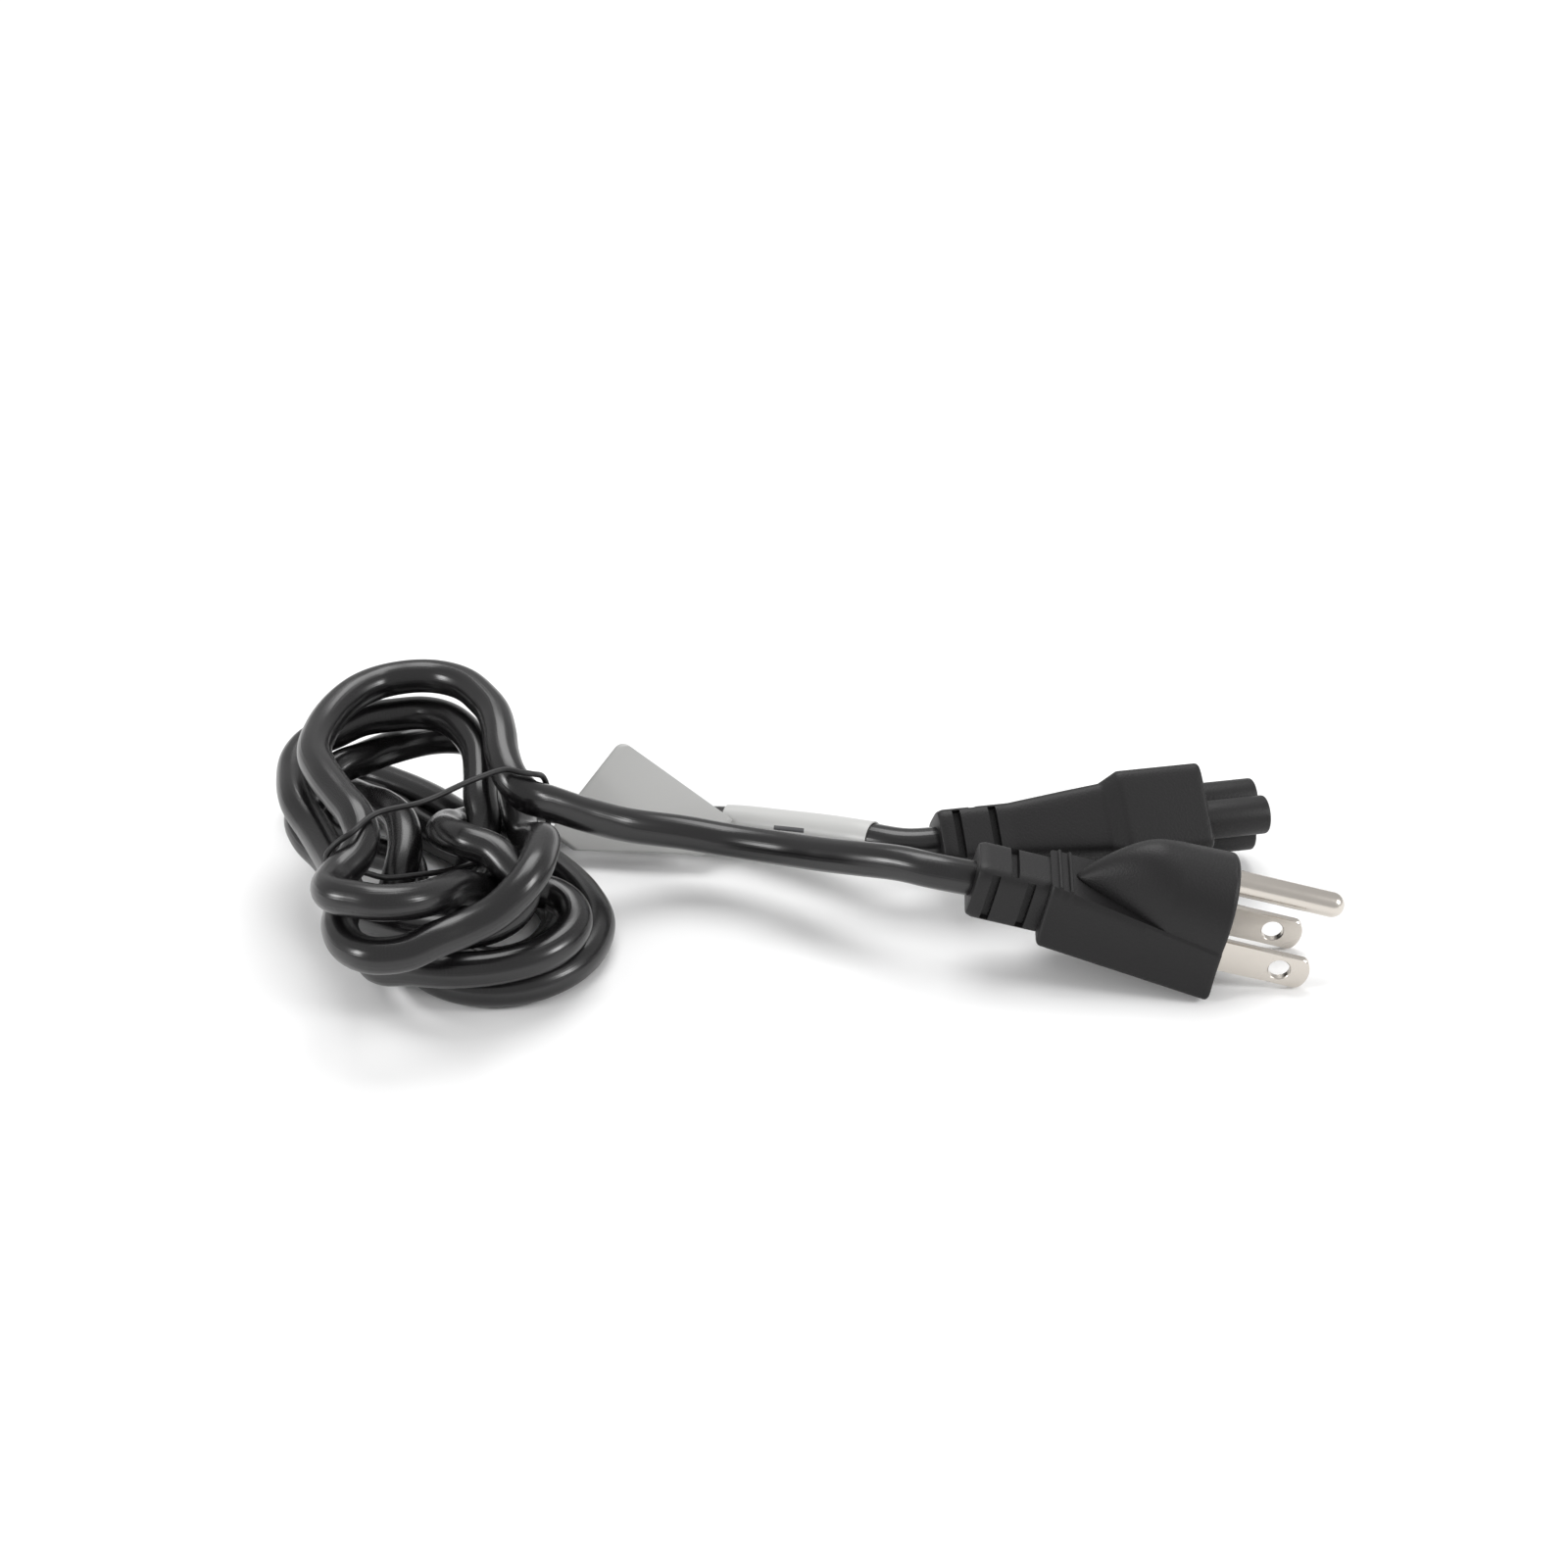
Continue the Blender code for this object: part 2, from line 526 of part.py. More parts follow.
def make_wrap(points, where, look):
    """A thin sleeve round the cord, along the same points."""
    inner = CORD_DIAMETER / 2 + CLEARANCE
    outer = inner + LABEL_THICKNESS
    rings = []
    for i in range(len(points)):
        ahead = (points[min(i + 1, len(points) - 1)] - points[max(i - 1, 0)]).normalized()
        across = ahead.cross(Vector((0, 0, 1))).normalized()
        up = across.cross(ahead)
        rings.append(wrap_ring(points[i], across, up, outer) + wrap_ring(points[i], across, up, inner))
    verts = [p for ring in rings for p in ring]
    faces = []
    for i in range(len(rings) - 1):
        a = i * 32
        b = a + 32
        for j in range(16):
            k = (j + 1) % 16
            faces.append((a + j, a + k, b + k, b + j))
            faces.append((a + 16 + j, b + 16 + j, b + 16 + k, a + 16 + k))
    for a in (0, (len(rings) - 1) * 32):
        for j in range(16):
            k = (j + 1) % 16
            faces.append((a + j, a + 16 + j, a + 16 + k, a + k))
    return add("wrap_label", mesh_from(verts, faces), where, look)


def make_flag(where, look):
    """A flat tag with one rounded corner, its lower corner cut off along the lead."""
    side = Vector(FLAG_SIDE).normalized()
    drop = Vector(FLAG_DROP)
    drop = (drop - side * drop.dot(side)).normalized()
    out = side.cross(drop).normalized()
    corner = Vector(FLAG_CORNER) - Vector(MIDDLE)
    radius = FLAG_CORNER_RADIUS
    flat = []
    for step in range(4):
        angle = math.radians(180 + 30 * step)
        flat.append((radius + radius * math.cos(angle), radius + radius * math.sin(angle)))
    flat += [(FLAG_WIDTH, 0.0), (FLAG_WIDTH, FLAG_HEIGHT * 0.22)]
    flat += [(FLAG_WIDTH * 0.38, FLAG_HEIGHT), (0.0, FLAG_HEIGHT)]
    rings = []
    for height in (-LABEL_THICKNESS / 2, LABEL_THICKNESS / 2):
        rings.append([corner + side * a + drop * b + out * height for a, b in flat])
    return add("flag_label", loft(rings), where, look)


def main():
    clear_scene()
    parts = collection("cloverleaf_power_cord", False)
    cutters = collection("cutters", True)
    looks = {
        "cord": material("cord_pvc", (0.028, 0.025, 0.027), 0.35),
        "moulding": material("moulded_pvc", (0.045, 0.042, 0.044), 0.55),
        "nickel": material("nickel", (0.72, 0.69, 0.64), 0.25, 1.0),
        "tie": material("tie_plastic", (0.03, 0.03, 0.03), 0.5),
        "paper": material("label_paper", (0.85, 0.85, 0.84), 0.5),
    }
    plug = make_plug(parts, cutters, looks)
    connector = make_connector(parts, cutters, looks)
    bpy.context.view_layer.update()
    route = [Vector(p) for p in ROUTE]
    rear = Vector((-PLUG_BODY_LENGTH - PLUG_RELIEF_LENGTH, 0, 0)) * MM
    start = plug.matrix_world @ (rear + Vector((SOCKET_FOR_CORD - CLEARANCE, 0, 0)) * MM)
    route[0] = start / MM + Vector(MIDDLE)
    reach = LOBE_LENGTH + CONNECTOR_BLOCK_LENGTH + CONNECTOR_FLARE_LENGTH
    reach += CONNECTOR_NECK_LENGTH + CONNECTOR_RELIEF_LENGTH - SOCKET_FOR_CORD + CLEARANCE
    finish = connector.matrix_world @ (Vector((-reach, 0, LOBES_BELOW_AXIS)) * MM)
    route[-1] = finish / MM + Vector(MIDDLE)
    line = smooth_route(route)
    cord = thin_out(line, POLY_STEP, POLY_TURN)
    wire("power_cord", cord, CORD_DIAMETER, False, 2, parts, looks["cord"])
    tie = thin_out(smooth_route(TIE, True), POLY_STEP / 2, POLY_TURN)
    wire("tie_wire", tie, TIE_DIAMETER, True, 1, parts, looks["tie"])
    back = cut_back(cord[::-1], WRAP_TO_RELIEF)
    ahead = cut_back(cord[::-1], WRAP_TO_RELIEF + WRAP_LENGTH)
    sleeve = back[: len(back) - len(ahead) + 1] + ahead[:1]
    make_wrap(sleeve, parts, looks["paper"])
    make_flag(parts, looks["paper"])


main()
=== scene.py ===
"""The looks of a cloverleaf power cord: a grounded plug, a tied hank of cord and a three-lobed connector.

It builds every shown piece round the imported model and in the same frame, with a floor, lights and a camera.
"""

import math

import bmesh
import bpy
import numpy as np
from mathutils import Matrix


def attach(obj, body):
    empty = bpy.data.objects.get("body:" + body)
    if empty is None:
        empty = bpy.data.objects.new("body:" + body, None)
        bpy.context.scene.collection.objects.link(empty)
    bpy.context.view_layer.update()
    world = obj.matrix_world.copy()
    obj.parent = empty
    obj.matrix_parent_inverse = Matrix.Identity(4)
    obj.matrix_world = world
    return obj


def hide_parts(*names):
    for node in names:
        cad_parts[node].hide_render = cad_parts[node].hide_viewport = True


bl_info = {
    "name": "Cloverleaf Power Cord",
    "version": (1, 0, 0),
    "blender": (4, 5, 0),
    "location": "View3D > Sidebar > Power Cord",
    "description": "Builds a tied power cord with a plug, a cloverleaf connector and labels",
    "category": "Object",
}

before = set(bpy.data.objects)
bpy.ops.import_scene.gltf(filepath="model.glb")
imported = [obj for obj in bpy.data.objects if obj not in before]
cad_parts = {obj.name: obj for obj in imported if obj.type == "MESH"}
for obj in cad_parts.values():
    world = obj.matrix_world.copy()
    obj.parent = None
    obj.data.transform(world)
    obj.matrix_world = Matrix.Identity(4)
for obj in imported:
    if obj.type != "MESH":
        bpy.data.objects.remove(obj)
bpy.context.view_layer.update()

MM = 0.001

# The step between points along the cord, the tie and the wrapped label, and how far the cord's ends
# reach into the strain reliefs
PATH_STEP = 0.8
CORD_TUCK = 1.7

# The rounding of the mouldings' edges, and the step and length of a strain relief's rounded rear
MOULDED_EDGE = 0.9
RELIEF_STEP = 0.5
RELIEF_ROUNDING = 1.2

# The slots across a strain relief, the share of its width that half a slot takes, and the stations
# beside a slot's wall
SLOT_COUNT = 3
SLOT_WIDTH = 1.5
SLOT_DEPTH = 1.5
SLOT_SHARE = 0.42
SLOT_WALL = (-0.12, -0.02, 0.02, 0.12)

# The plug's section at its rear, and what it has gained at its face: under the axis, and half widths
FOOT_DEPTH, FOOT_DEPTH_GAIN = 5.7, 1.1
FOOT_HALF, FOOT_HALF_GAIN = 9.0, 3.8
WAIST_HALF, WAIST_HALF_GAIN = 6.15, 4.5
CREASE_HEIGHT, CREASE_DROP = 5.8, 3.5
LEDGE_WIDTH, LEDGE_DROP = 0.4, 0.25

# The plug's dome, with distances from the face to its point, and the two grip ridges behind it
DECK_STEP = 0.3
DECK_HOLLOW = 0.5
DOME_TOP = 16.2
DOME_POINT = 28.0
DOME_RISE_LENGTH = 14.5
LEAF_LENGTH = 17.0
GRIP_RIDGES = (-31.15, -29.15)
GRIP_STATIONS = (-0.45, -0.25, 0.25, 0.45)
GRIP_HEIGHT = 0.45
GRIP_HALF = 0.42
GRIP_SLOPE = 0.2

# How deep the pins stand in the plug, and the small edges of a blade and of its hole
PIN_ROOT = 3.0
BLADE_EDGE = 0.2
HOLE_EDGE = 0.15
BLADE_TIP_SHARE = 0.6

# The connector's lobes: how far they stand in the block, and their sockets
LOBE_ROOT = 1.0
SOCKET_RADIUS = 1.3
SOCKET_DEPTH = 10.0

# The tag's rounded corner, the start and end of its cut corner as shares, and its curl
TAG_ROUNDING = 2.0
TAG_CUT_START = 0.38
TAG_CUT_END = 0.22
TAG_CURL = 0.5

# The wrapped label's gap to the cord, the span of its bars along it, and each bar's place and half width
# as shares of the way round
WRAP_GAP = 0.12
BAR_SPAN = (13.6, 21.0)
BARS = ((0.0, 0.02), (0.061, 0.0125), (0.107, 0.0115))

# The camera looks down by this many degrees, from this place in metres, through this lens
CAMERA_DIP = 31.0
CAMERA_PLACE = (-0.00118, -0.44362, 0.29515)
CAMERA_LENS = 63.675
CAMERA_SENSOR = 36.0

# The strength of the white surroundings, and each lamp's name, place and width in metres, and power in watts
SKY_STRENGTH = 0.62
LAMPS = (
    ("left_softbox", (-0.7, -0.3, 0.35), 0.22, 2.4),
    ("right_softbox", (0.7, -0.2, 0.4), 0.22, 2.4),
    ("top_softbox", (0.0, 0.5, 1.0), 0.7, 6.8),
)

# Half the floor's width in millimetres, how far it lies under the cord in metres, and its colour
FLOOR_REACH = 3000.0
FLOOR_DROP = 0.0002
PAPER = (0.96, 0.96, 0.96, 1.0)

# The middle of the object's outline in the numbers below, in millimetres, which is the origin of the frame
MIDDLE = np.array((-3.68, -20.62, 0.12))

# Where the two mouldings lie: the plug's pins meet its face here, and the connector's lobes end here
PLUG_PLACE = (74.7, -38.4, 7.05)
PLUG_HEADING = -3.0
PLUG_DIP = 13.5
CONNECTOR_PLACE = (87.6, -4.3, 10.2)
CONNECTOR_HEADING = 11.0
CONNECTOR_ROLL = 50.0

FLAG_CORNER = (-37.2, 12.4, 19.1)
FLAG_SIDE = (-14.0, -12.7, -13.7)
FLAG_DROP = (22.1, -13.4, -10.7)

# The cord's route from the plug to the connector
ROUTE = (
    (28.1, -36.6, 18.1), (22.6, -35.9, 19.3), (16.6, -32.9, 19.0), (10.0, -28.7, 17.3),
    (3.0, -23.3, 14.8), (-5.0, -17.2, 12.3), (-16.0, -12.0, 11.0), (-24.0, -11.0, 12.0),
    (-35.0, -13.0, 15.0), (-42.0, -16.0, 19.0), (-49.0, -19.5, 24.0), (-53.0, -21.0, 26.5),
    (-56.0, -18.5, 28.8), (-58.0, -13.0, 30.5), (-59.0, -7.0, 31.8), (-60.5, -1.0, 32.6),
    (-62.5, 3.0, 33.0), (-67.0, 9.0, 33.5), (-72.0, 12.0, 33.5), (-77.0, 12.5, 33.5),
    (-83.0, 11.5, 33.0), (-87.5, 7.5, 33.0), (-91.0, 1.5, 32.5), (-93.0, -6.0, 32.0),
    (-93.0, -15.0, 32.0), (-90.0, -23.0, 32.0), (-86.0, -30.0, 31.5), (-82.5, -36.0, 31.0),
    (-81.0, -40.5, 29.5), (-82.0, -45.5, 28.0), (-84.5, -50.5, 27.5), (-85.0, -55.0, 28.0),
    (-83.0, -59.0, 29.0), (-79.0, -61.0, 29.5), (-75.0, -62.0, 29.5), (-70.0, -60.0, 28.5),
    (-66.0, -55.0, 26.5), (-63.0, -47.5, 23.2), (-60.0, -41.0, 18.2), (-56.0, -36.0, 14.5),
    (-52.0, -33.5, 13.4), (-48.0, -33.0, 12.3), (-44.7, -35.5, 11.5), (-43.3, -40.0, 10.9),
    (-44.5, -45.0, 10.6), (-48.0, -49.5, 10.4), (-52.0, -52.0, 10.3), (-58.0, -54.0, 10.2),
    (-65.0, -55.0, 10.4), (-72.0, -53.0, 9.5), (-77.5, -49.0, 6.8), (-80.2, -44.3, 5.3),
    (-80.3, -40.0, 6.0), (-79.5, -36.5, 8.3), (-77.6, -32.5, 11.6), (-76.5, -29.5, 14.5),
    (-76.0, -24.0, 17.0), (-77.5, -17.0, 18.0), (-81.5, -9.0, 16.5), (-87.0, 0.0, 12.8),
    (-93.0, 7.0, 10.9), (-99.5, 13.0, 9.2), (-102.0, 19.0, 5.8), (-97.0, 24.0, 3.8),
    (-90.0, 24.5, 3.4), (-83.0, 20.5, 3.4), (-76.0, 15.0, 3.4), (-69.0, 8.0, 3.4),
    (-61.0, 2.0, 3.4), (-54.0, -5.0, 3.4), (-48.0, -12.0, 3.4), (-43.0, -20.0, 3.4),
    (-40.0, -29.0, 3.4), (-41.0, -38.0, 3.4), (-45.0, -45.0, 3.4), (-51.0, -49.5, 3.4),
    (-58.0, -51.0, 3.4), (-65.0, -49.5, 3.4), (-71.0, -44.5, 3.4), (-74.0, -36.0, 3.4),
    (-75.0, -28.0, 4.0), (-76.0, -19.0, 5.0), (-78.0, -12.0, 6.0), (-83.5, -8.0, 5.5),
    (-90.0, -4.0, 4.6), (-95.0, 2.0, 3.8), (-95.0, 9.0, 3.4), (-90.0, 14.0, 3.4),
    (-84.0, 12.0, 3.4), (-78.0, 5.0, 3.4), (-70.0, -2.5, 3.4), (-62.0, -10.0, 4.0),
    (-54.0, -18.0, 5.0), (-50.0, -23.0, 4.5), (-47.5, -28.0, 3.6), (-48.0, -33.5, 3.4),
    (-51.0, -39.5, 3.4), (-55.5, -42.5, 3.4), (-60.0, -43.0, 3.4), (-64.5, -40.5, 4.0),
    (-66.5, -35.5, 6.0), (-66.0, -33.0, 9.0), (-65.0, -30.0, 12.0), (-63.5, -27.0, 14.0),
    (-62.5, -23.0, 15.5), (-61.6, -18.0, 18.5), (-62.5, -14.0, 21.5), (-63.0, -8.0, 23.5),
    (-64.0, -2.0, 25.0), (-67.0, 4.0, 26.0), (-71.0, 9.0, 26.0), (-76.0, 12.0, 25.5),
    (-82.0, 12.0, 25.0), (-88.0, 10.0, 25.0), (-93.0, 7.0, 24.0), (-97.0, 4.0, 23.5),
    (-99.0, -1.0, 23.0), (-99.0, -7.0, 22.5), (-97.0, -16.0, 22.0), (-93.0, -23.0, 20.5),
    (-90.0, -29.0, 20.0), (-87.0, -36.0, 20.0), (-85.0, -43.0, 20.3), (-84.0, -50.0, 20.3),
    (-83.5, -56.5, 20.3), (-81.0, -62.0, 20.3), (-76.5, -65.5, 20.8), (-71.0, -65.0, 21.0),
    (-66.0, -62.5, 22.0), (-61.0, -59.5, 22.5), (-56.0, -57.0, 24.0), (-52.0, -54.0, 26.5),
    (-49.5, -49.5, 28.0), (-48.7, -44.0, 28.0), (-48.7, -38.0, 27.0), (-50.5, -31.0, 23.0),
    (-53.5, -22.0, 17.8), (-56.0, -11.0, 17.5), (-57.5, -3.5, 17.5), (-59.5, 4.0, 17.5),
    (-62.0, 11.0, 17.5), (-66.0, 15.5, 17.0), (-71.0, 17.0, 17.0), (-76.0, 16.5, 17.0),
    (-83.0, 12.0, 17.5), (-88.0, 5.5, 18.7), (-92.0, 1.0, 19.1), (-96.0, -3.5, 16.0),
    (-98.0, -9.0, 14.0), (-96.0, -14.0, 12.5), (-92.0, -19.0, 11.5), (-88.5, -25.0, 11.0),
    (-86.0, -31.0, 10.8), (-84.8, -37.0, 13.2), (-80.0, -44.0, 14.0), (-74.0, -48.5, 15.5),
    (-69.0, -50.0, 15.7), (-62.5, -50.1, 15.5), (-57.0, -48.6, 16.1), (-53.5, -46.0, 17.5),
    (-52.3, -42.5, 20.0), (-55.3, -39.0, 22.7), (-58.0, -36.5, 24.0), (-63.0, -34.0, 24.5),
    (-67.0, -29.0, 23.0), (-68.6, -24.0, 20.5), (-68.6, -17.5, 17.5), (-68.0, -12.0, 14.0),
    (-65.5, -7.5, 12.2), (-60.0, -2.0, 10.7), (-55.0, 2.0, 10.3), (-50.0, 6.8, 6.8),
    (-44.1, 8.3, 4.6), (-36.2, 7.3, 3.7), (-24.4, 5.4, 4.2), (-14.6, 2.8, 5.6),
    (-4.9, -1.8, 7.3), (4.7, -8.0, 9.8), (11.6, -12.6, 11.4), (18.5, -15.4, 11.9),
    (24.4, -14.7, 11.7),
)

# The tie's course round the upper strands
TIE = (
    (-86.8, -45.6, 28.5), (-84.8, -45.6, 31.3), (-82.0, -44.8, 33.1), (-78.4, -39.2, 33.6),
    (-70.3, -34.3, 33.2), (-62.2, -26.0, 32.8), (-56.4, -21.8, 32.6), (-54.0, -21.6, 31.9),
    (-51.7, -20.6, 30.9), (-50.1, -16.8, 27.9), (-49.5, -15.1, 23.0), (-49.6, -17.0, 18.0),
    (-50.6, -18.8, 14.6), (-53.0, -21.0, 13.0), (-59.8, -27.8, 17.1), (-66.0, -32.5, 17.4),
    (-72.0, -36.0, 18.5), (-77.5, -40.5, 20.8), (-82.0, -43.2, 24.0), (-86.0, -45.2, 25.0),
)


class CordSizes(bpy.types.PropertyGroup):
    """Sizes of the cord, its tie and its labels, in millimetres."""

    diameter: bpy.props.FloatProperty(
        name="Cord diameter", description="Across the round cord", default=6.6, min=4.0, max=9.0
    )
    tie: bpy.props.FloatProperty(
        name="Tie diameter", description="Across the tie wire", default=1.1, min=0.5, max=2.0
    )
    film: bpy.props.FloatProperty(
        name="Label thickness", description="Of the white labels", default=0.25, min=0.1, max=0.6
    )
    flag_width: bpy.props.FloatProperty(
        name="Flag width", description="Along the tag's left edge", default=23.4, min=10, max=40
    )
    flag_height: bpy.props.FloatProperty(
        name="Flag height", description="Along the tag's right edge", default=27.9, min=10, max=40
    )
    wrap: bpy.props.FloatProperty(
        name="Wrap length", description="Of the label round the lead", default=33.2, min=10, max=60
    )
    wrap_start: bpy.props.FloatProperty(
        name="Wrap distance", description="From the cord's end to the label", default=14.5, min=5, max=40
    )


class PlugSizes(bpy.types.PropertyGroup):
    """Sizes of the plug and its pins, in millimetres."""

    body: bpy.props.FloatProperty(name="Body", description="Length of the body", default=33.0)
    relief: bpy.props.FloatProperty(
        name="Strain relief", description="Length of the slotted part", default=13.3
    )
    relief_width: bpy.props.FloatProperty(
        name="Relief width", description="Across the slotted part", default=11.6
    )
    pin_spacing: bpy.props.FloatProperty(
        name="Blade spacing", description="Between the two blades", default=12.7
    )
    blade_width: bpy.props.FloatProperty(
        name="Blade width", description="Across a blade", default=6.35
    )
    blade_thickness: bpy.props.FloatProperty(
        name="Blade thickness", description="Of a blade", default=1.5
    )
    blade_length: bpy.props.FloatProperty(
        name="Blade length", description="Of a blade beyond the face", default=17.5
    )
    hole: bpy.props.FloatProperty(
        name="Blade hole", description="Across the hole in a blade", default=4.0
    )
    hole_distance: bpy.props.FloatProperty(
        name="Hole distance", description="From the face to the hole's middle", default=11.9
    )
    ground: bpy.props.FloatProperty(
        name="Ground pin", description="Across the round pin", default=4.75
    )
    ground_length: bpy.props.FloatProperty(
        name="Ground length", description="Of the round pin beyond the face", default=21.0
    )
    ground_height: bpy.props.FloatProperty(
        name="Ground height", description="Of the round pin above the blades", default=11.9
    )


class ConnectorSizes(bpy.types.PropertyGroup):
    """Sizes of the three-lobed connector, in millimetres."""

    lobe: bpy.props.FloatProperty(name="Lobe", description="Across one lobe", default=7.5)
    lobe_length: bpy.props.FloatProperty(
        name="Lobe length", description="Of the lobes beyond the block", default=12.0
    )
    spacing: bpy.props.FloatProperty(
        name="Lobe spacing", description="Between the two line lobes", default=10.0
    )
    earth: bpy.props.FloatProperty(
        name="Earth offset", description="From the line lobes to the third lobe", default=5.3
    )
    block: bpy.props.FloatProperty(name="Block", description="Length of the block", default=16.5)
    block_width: bpy.props.FloatProperty(
        name="Block width", description="Across the block", default=17.6
    )
    flare: bpy.props.FloatProperty(name="Flare", description="Length of the flare", default=3.5)
    neck: bpy.props.FloatProperty(name="Neck", description="Length of the neck", default=18.0)
    neck_width: bpy.props.FloatProperty(
        name="Neck width", description="Across the neck at the flare", default=14.4
    )
    relief: bpy.props.FloatProperty(
        name="Strain relief", description="Length of the slotted part", default=14.0
    )
    relief_width: bpy.props.FloatProperty(
        name="Relief width", description="Across the slotted part", default=11.4
    )
    below: bpy.props.FloatProperty(
        name="Lobes below axis", description="From the cord's axis to the line lobes", default=2.4
    )


class PowerCordColours(bpy.types.PropertyGroup):
    """Colours of the finishes."""

    jacket: bpy.props.FloatVectorProperty(
        name="Jacket", description="Black cord jacket", subtype="COLOR", size=4, min=0, max=1,
        default=(0.006, 0.0055, 0.006, 1.0),
    )
    moulding: bpy.props.FloatVectorProperty(
        name="Moulding", description="Plug and connector", subtype="COLOR", size=4, min=0, max=1,
        default=(0.009, 0.0085, 0.009, 1.0),
    )
    plating: bpy.props.FloatVectorProperty(
        name="Plating", description="Pins", subtype="COLOR", size=4, min=0, max=1,
        default=(0.62, 0.58, 0.53, 1.0),
    )
    film: bpy.props.FloatVectorProperty(
        name="Film", description="White labels", subtype="COLOR", size=4, min=0, max=1,
        default=(0.53, 0.53, 0.52, 1.0),
    )
    ink: bpy.props.FloatVectorProperty(
        name="Ink", description="Bars on the wrapped label", subtype="COLOR", size=4, min=0, max=1,
        default=(0.05, 0.05, 0.055, 1.0),
    )


def turn_about(axis, degrees):
    """The matrix of a turn about x, y or z by the right-hand rule."""
    c, s = math.cos(math.radians(degrees)), math.sin(math.radians(degrees))
    if axis == "x":
        return np.array(((1, 0, 0), (0, c, -s), (0, s, c)))
    if axis == "y":
        return np.array(((c, 0, s), (0, 1, 0), (-s, 0, c)))
    return np.array(((c, -s, 0), (s, c, 0), (0, 0, 1)))


PLUG_TURN = turn_about("z", PLUG_HEADING) @ turn_about("y", PLUG_DIP)
CONNECTOR_TURN = turn_about("z", CONNECTOR_HEADING) @ turn_about("x", -CONNECTOR_ROLL)


def placed(points, turn, place):
    """Points of a moulding's own frame, in the part's frame: turned, then moved."""
    return points @ turn.T + (np.array(place) - MIDDLE)


def smooth_route(points, closed=False, samples=24):
    """A centripetal Catmull-Rom curve through the points, then spaced evenly along its length."""
    p = np.array(points, float) - MIDDLE
    if closed:
        p = np.vstack((p[-1:], p, p[:2]))
    else:
        p = np.vstack((2 * p[0] - p[1], p, 2 * p[-1] - p[-2]))
    p0, p1, p2, p3 = p[:-3, None], p[1:-2, None], p[2:-1, None], p[3:, None]
    t1 = np.linalg.norm(p1 - p0, axis=2, keepdims=True) ** 0.5
    t2 = t1 + np.linalg.norm(p2 - p1, axis=2, keepdims=True) ** 0.5
    t3 = t2 + np.linalg.norm(p3 - p2, axis=2, keepdims=True) ** 0.5
    t = t1 + (t2 - t1) * np.linspace(0, 1, samples, endpoint=False)[None, :, None]
    a1 = p0 + (p1 - p0) * t / t1
    a2 = p1 + (p2 - p1) * (t - t1) / (t2 - t1)
    a3 = p2 + (p3 - p2) * (t - t2) / (t3 - t2)
    b1 = a1 + (a2 - a1) * t / t2
    b2 = a2 + (a3 - a2) * (t - t1) / (t3 - t1)
    curve = (b1 + (b2 - b1) * (t - t1) / (t2 - t1)).reshape(-1, 3)
    curve = np.vstack((curve, p[-2:-1]))
    return evenly(curve)


def distances(points):
    """How far along the line each point is."""
    return np.concatenate(((0.0,), np.cumsum(np.linalg.norm(np.diff(points, axis=0), axis=1))))


def evenly(points):
    """The same line with its points an even step apart."""
    return stretch(points, 0.0, distances(points)[-1])


def stretch(points, first, last):
    """The part of a line between two distances along it."""
    along = distances(points)
    wanted = np.linspace(first, last, max(2, int((last - first) / PATH_STEP)))
    return np.stack([np.interp(wanted, along, points[:, k]) for k in range(3)], axis=1)


def mesh_object(name, points, faces, smooth_angle=35.0, uv=None):
    """A mesh object of points in millimetres and faces, smooth except at sharp edges."""
    mesh = bpy.data.meshes.new(name)
    mesh.from_pydata(points * MM, [], faces)
    if uv is not None:
        layer = mesh.uv_layers.new(name="UVMap")
        corners = np.empty(len(mesh.loops), np.int32)
        mesh.loops.foreach_get("vertex_index", corners)
        layer.data.foreach_set("uv", uv[corners].astype(np.float32).ravel())
    shape = bmesh.new()
    shape.from_mesh(mesh)
    bmesh.ops.recalc_face_normals(shape, faces=shape.faces)
    shape.to_mesh(mesh)
    shape.free()
    mesh.shade_smooth()
    mesh.set_sharp_from_angle(angle=math.radians(smooth_angle))
    obj = bpy.data.objects.new(name, mesh)
    bpy.context.scene.collection.objects.link(obj)
    return obj


def grid_faces(rows, columns, loop=False, start=0):
    """Quads between neighbouring closed rings of a grid; loop joins the last ring to the first."""
    i = np.arange(rows if loop else rows - 1)[:, None]
    j = np.arange(columns)[None, :]
    k = (j + 1) % columns
    n = (i + 1) % rows
    quads = np.stack((i * columns + j, i * columns + k, n * columns + k, n * columns + j), axis=2)
    return quads.reshape(-1, 4) + start


def capped_grid(rings, start=0):
    """The points and faces of a grid of rings with a flat cap on each end."""
    rows, columns = rings.shape[:2]
    faces = [tuple(f) for f in grid_faces(rows, columns, start=start)]
    faces.append(tuple(start + np.arange(columns)[::-1]))
    faces.append(tuple(start + (rows - 1) * columns + np.arange(columns)))
    return rings.reshape(-1, 3), faces


def joined(shells):
    """Several closed shells as one list of points and faces."""
    points, faces, start = [], [], 0
    for shell_points, shell_faces in shells:
        points.append(shell_points)
        faces += [tuple(int(v) + start for v in face) for face in shell_faces]
        start += len(shell_points)
    return np.vstack(points), faces


def frames_along(path, loop=False):
    """Two unit vectors across the path at each point: level with the floor, and square to that."""
    if loop:
        ahead = np.roll(path, -1, axis=0) - np.roll(path, 1, axis=0)
    else:
        ahead = np.gradient(path, axis=0)
    ahead /= np.linalg.norm(ahead, axis=1, keepdims=True)
    across = np.cross(ahead, (0.0, 0.0, 1.0))
    across /= np.maximum(np.linalg.norm(across, axis=1, keepdims=True), 1e-9)
    return across, np.cross(across, ahead)


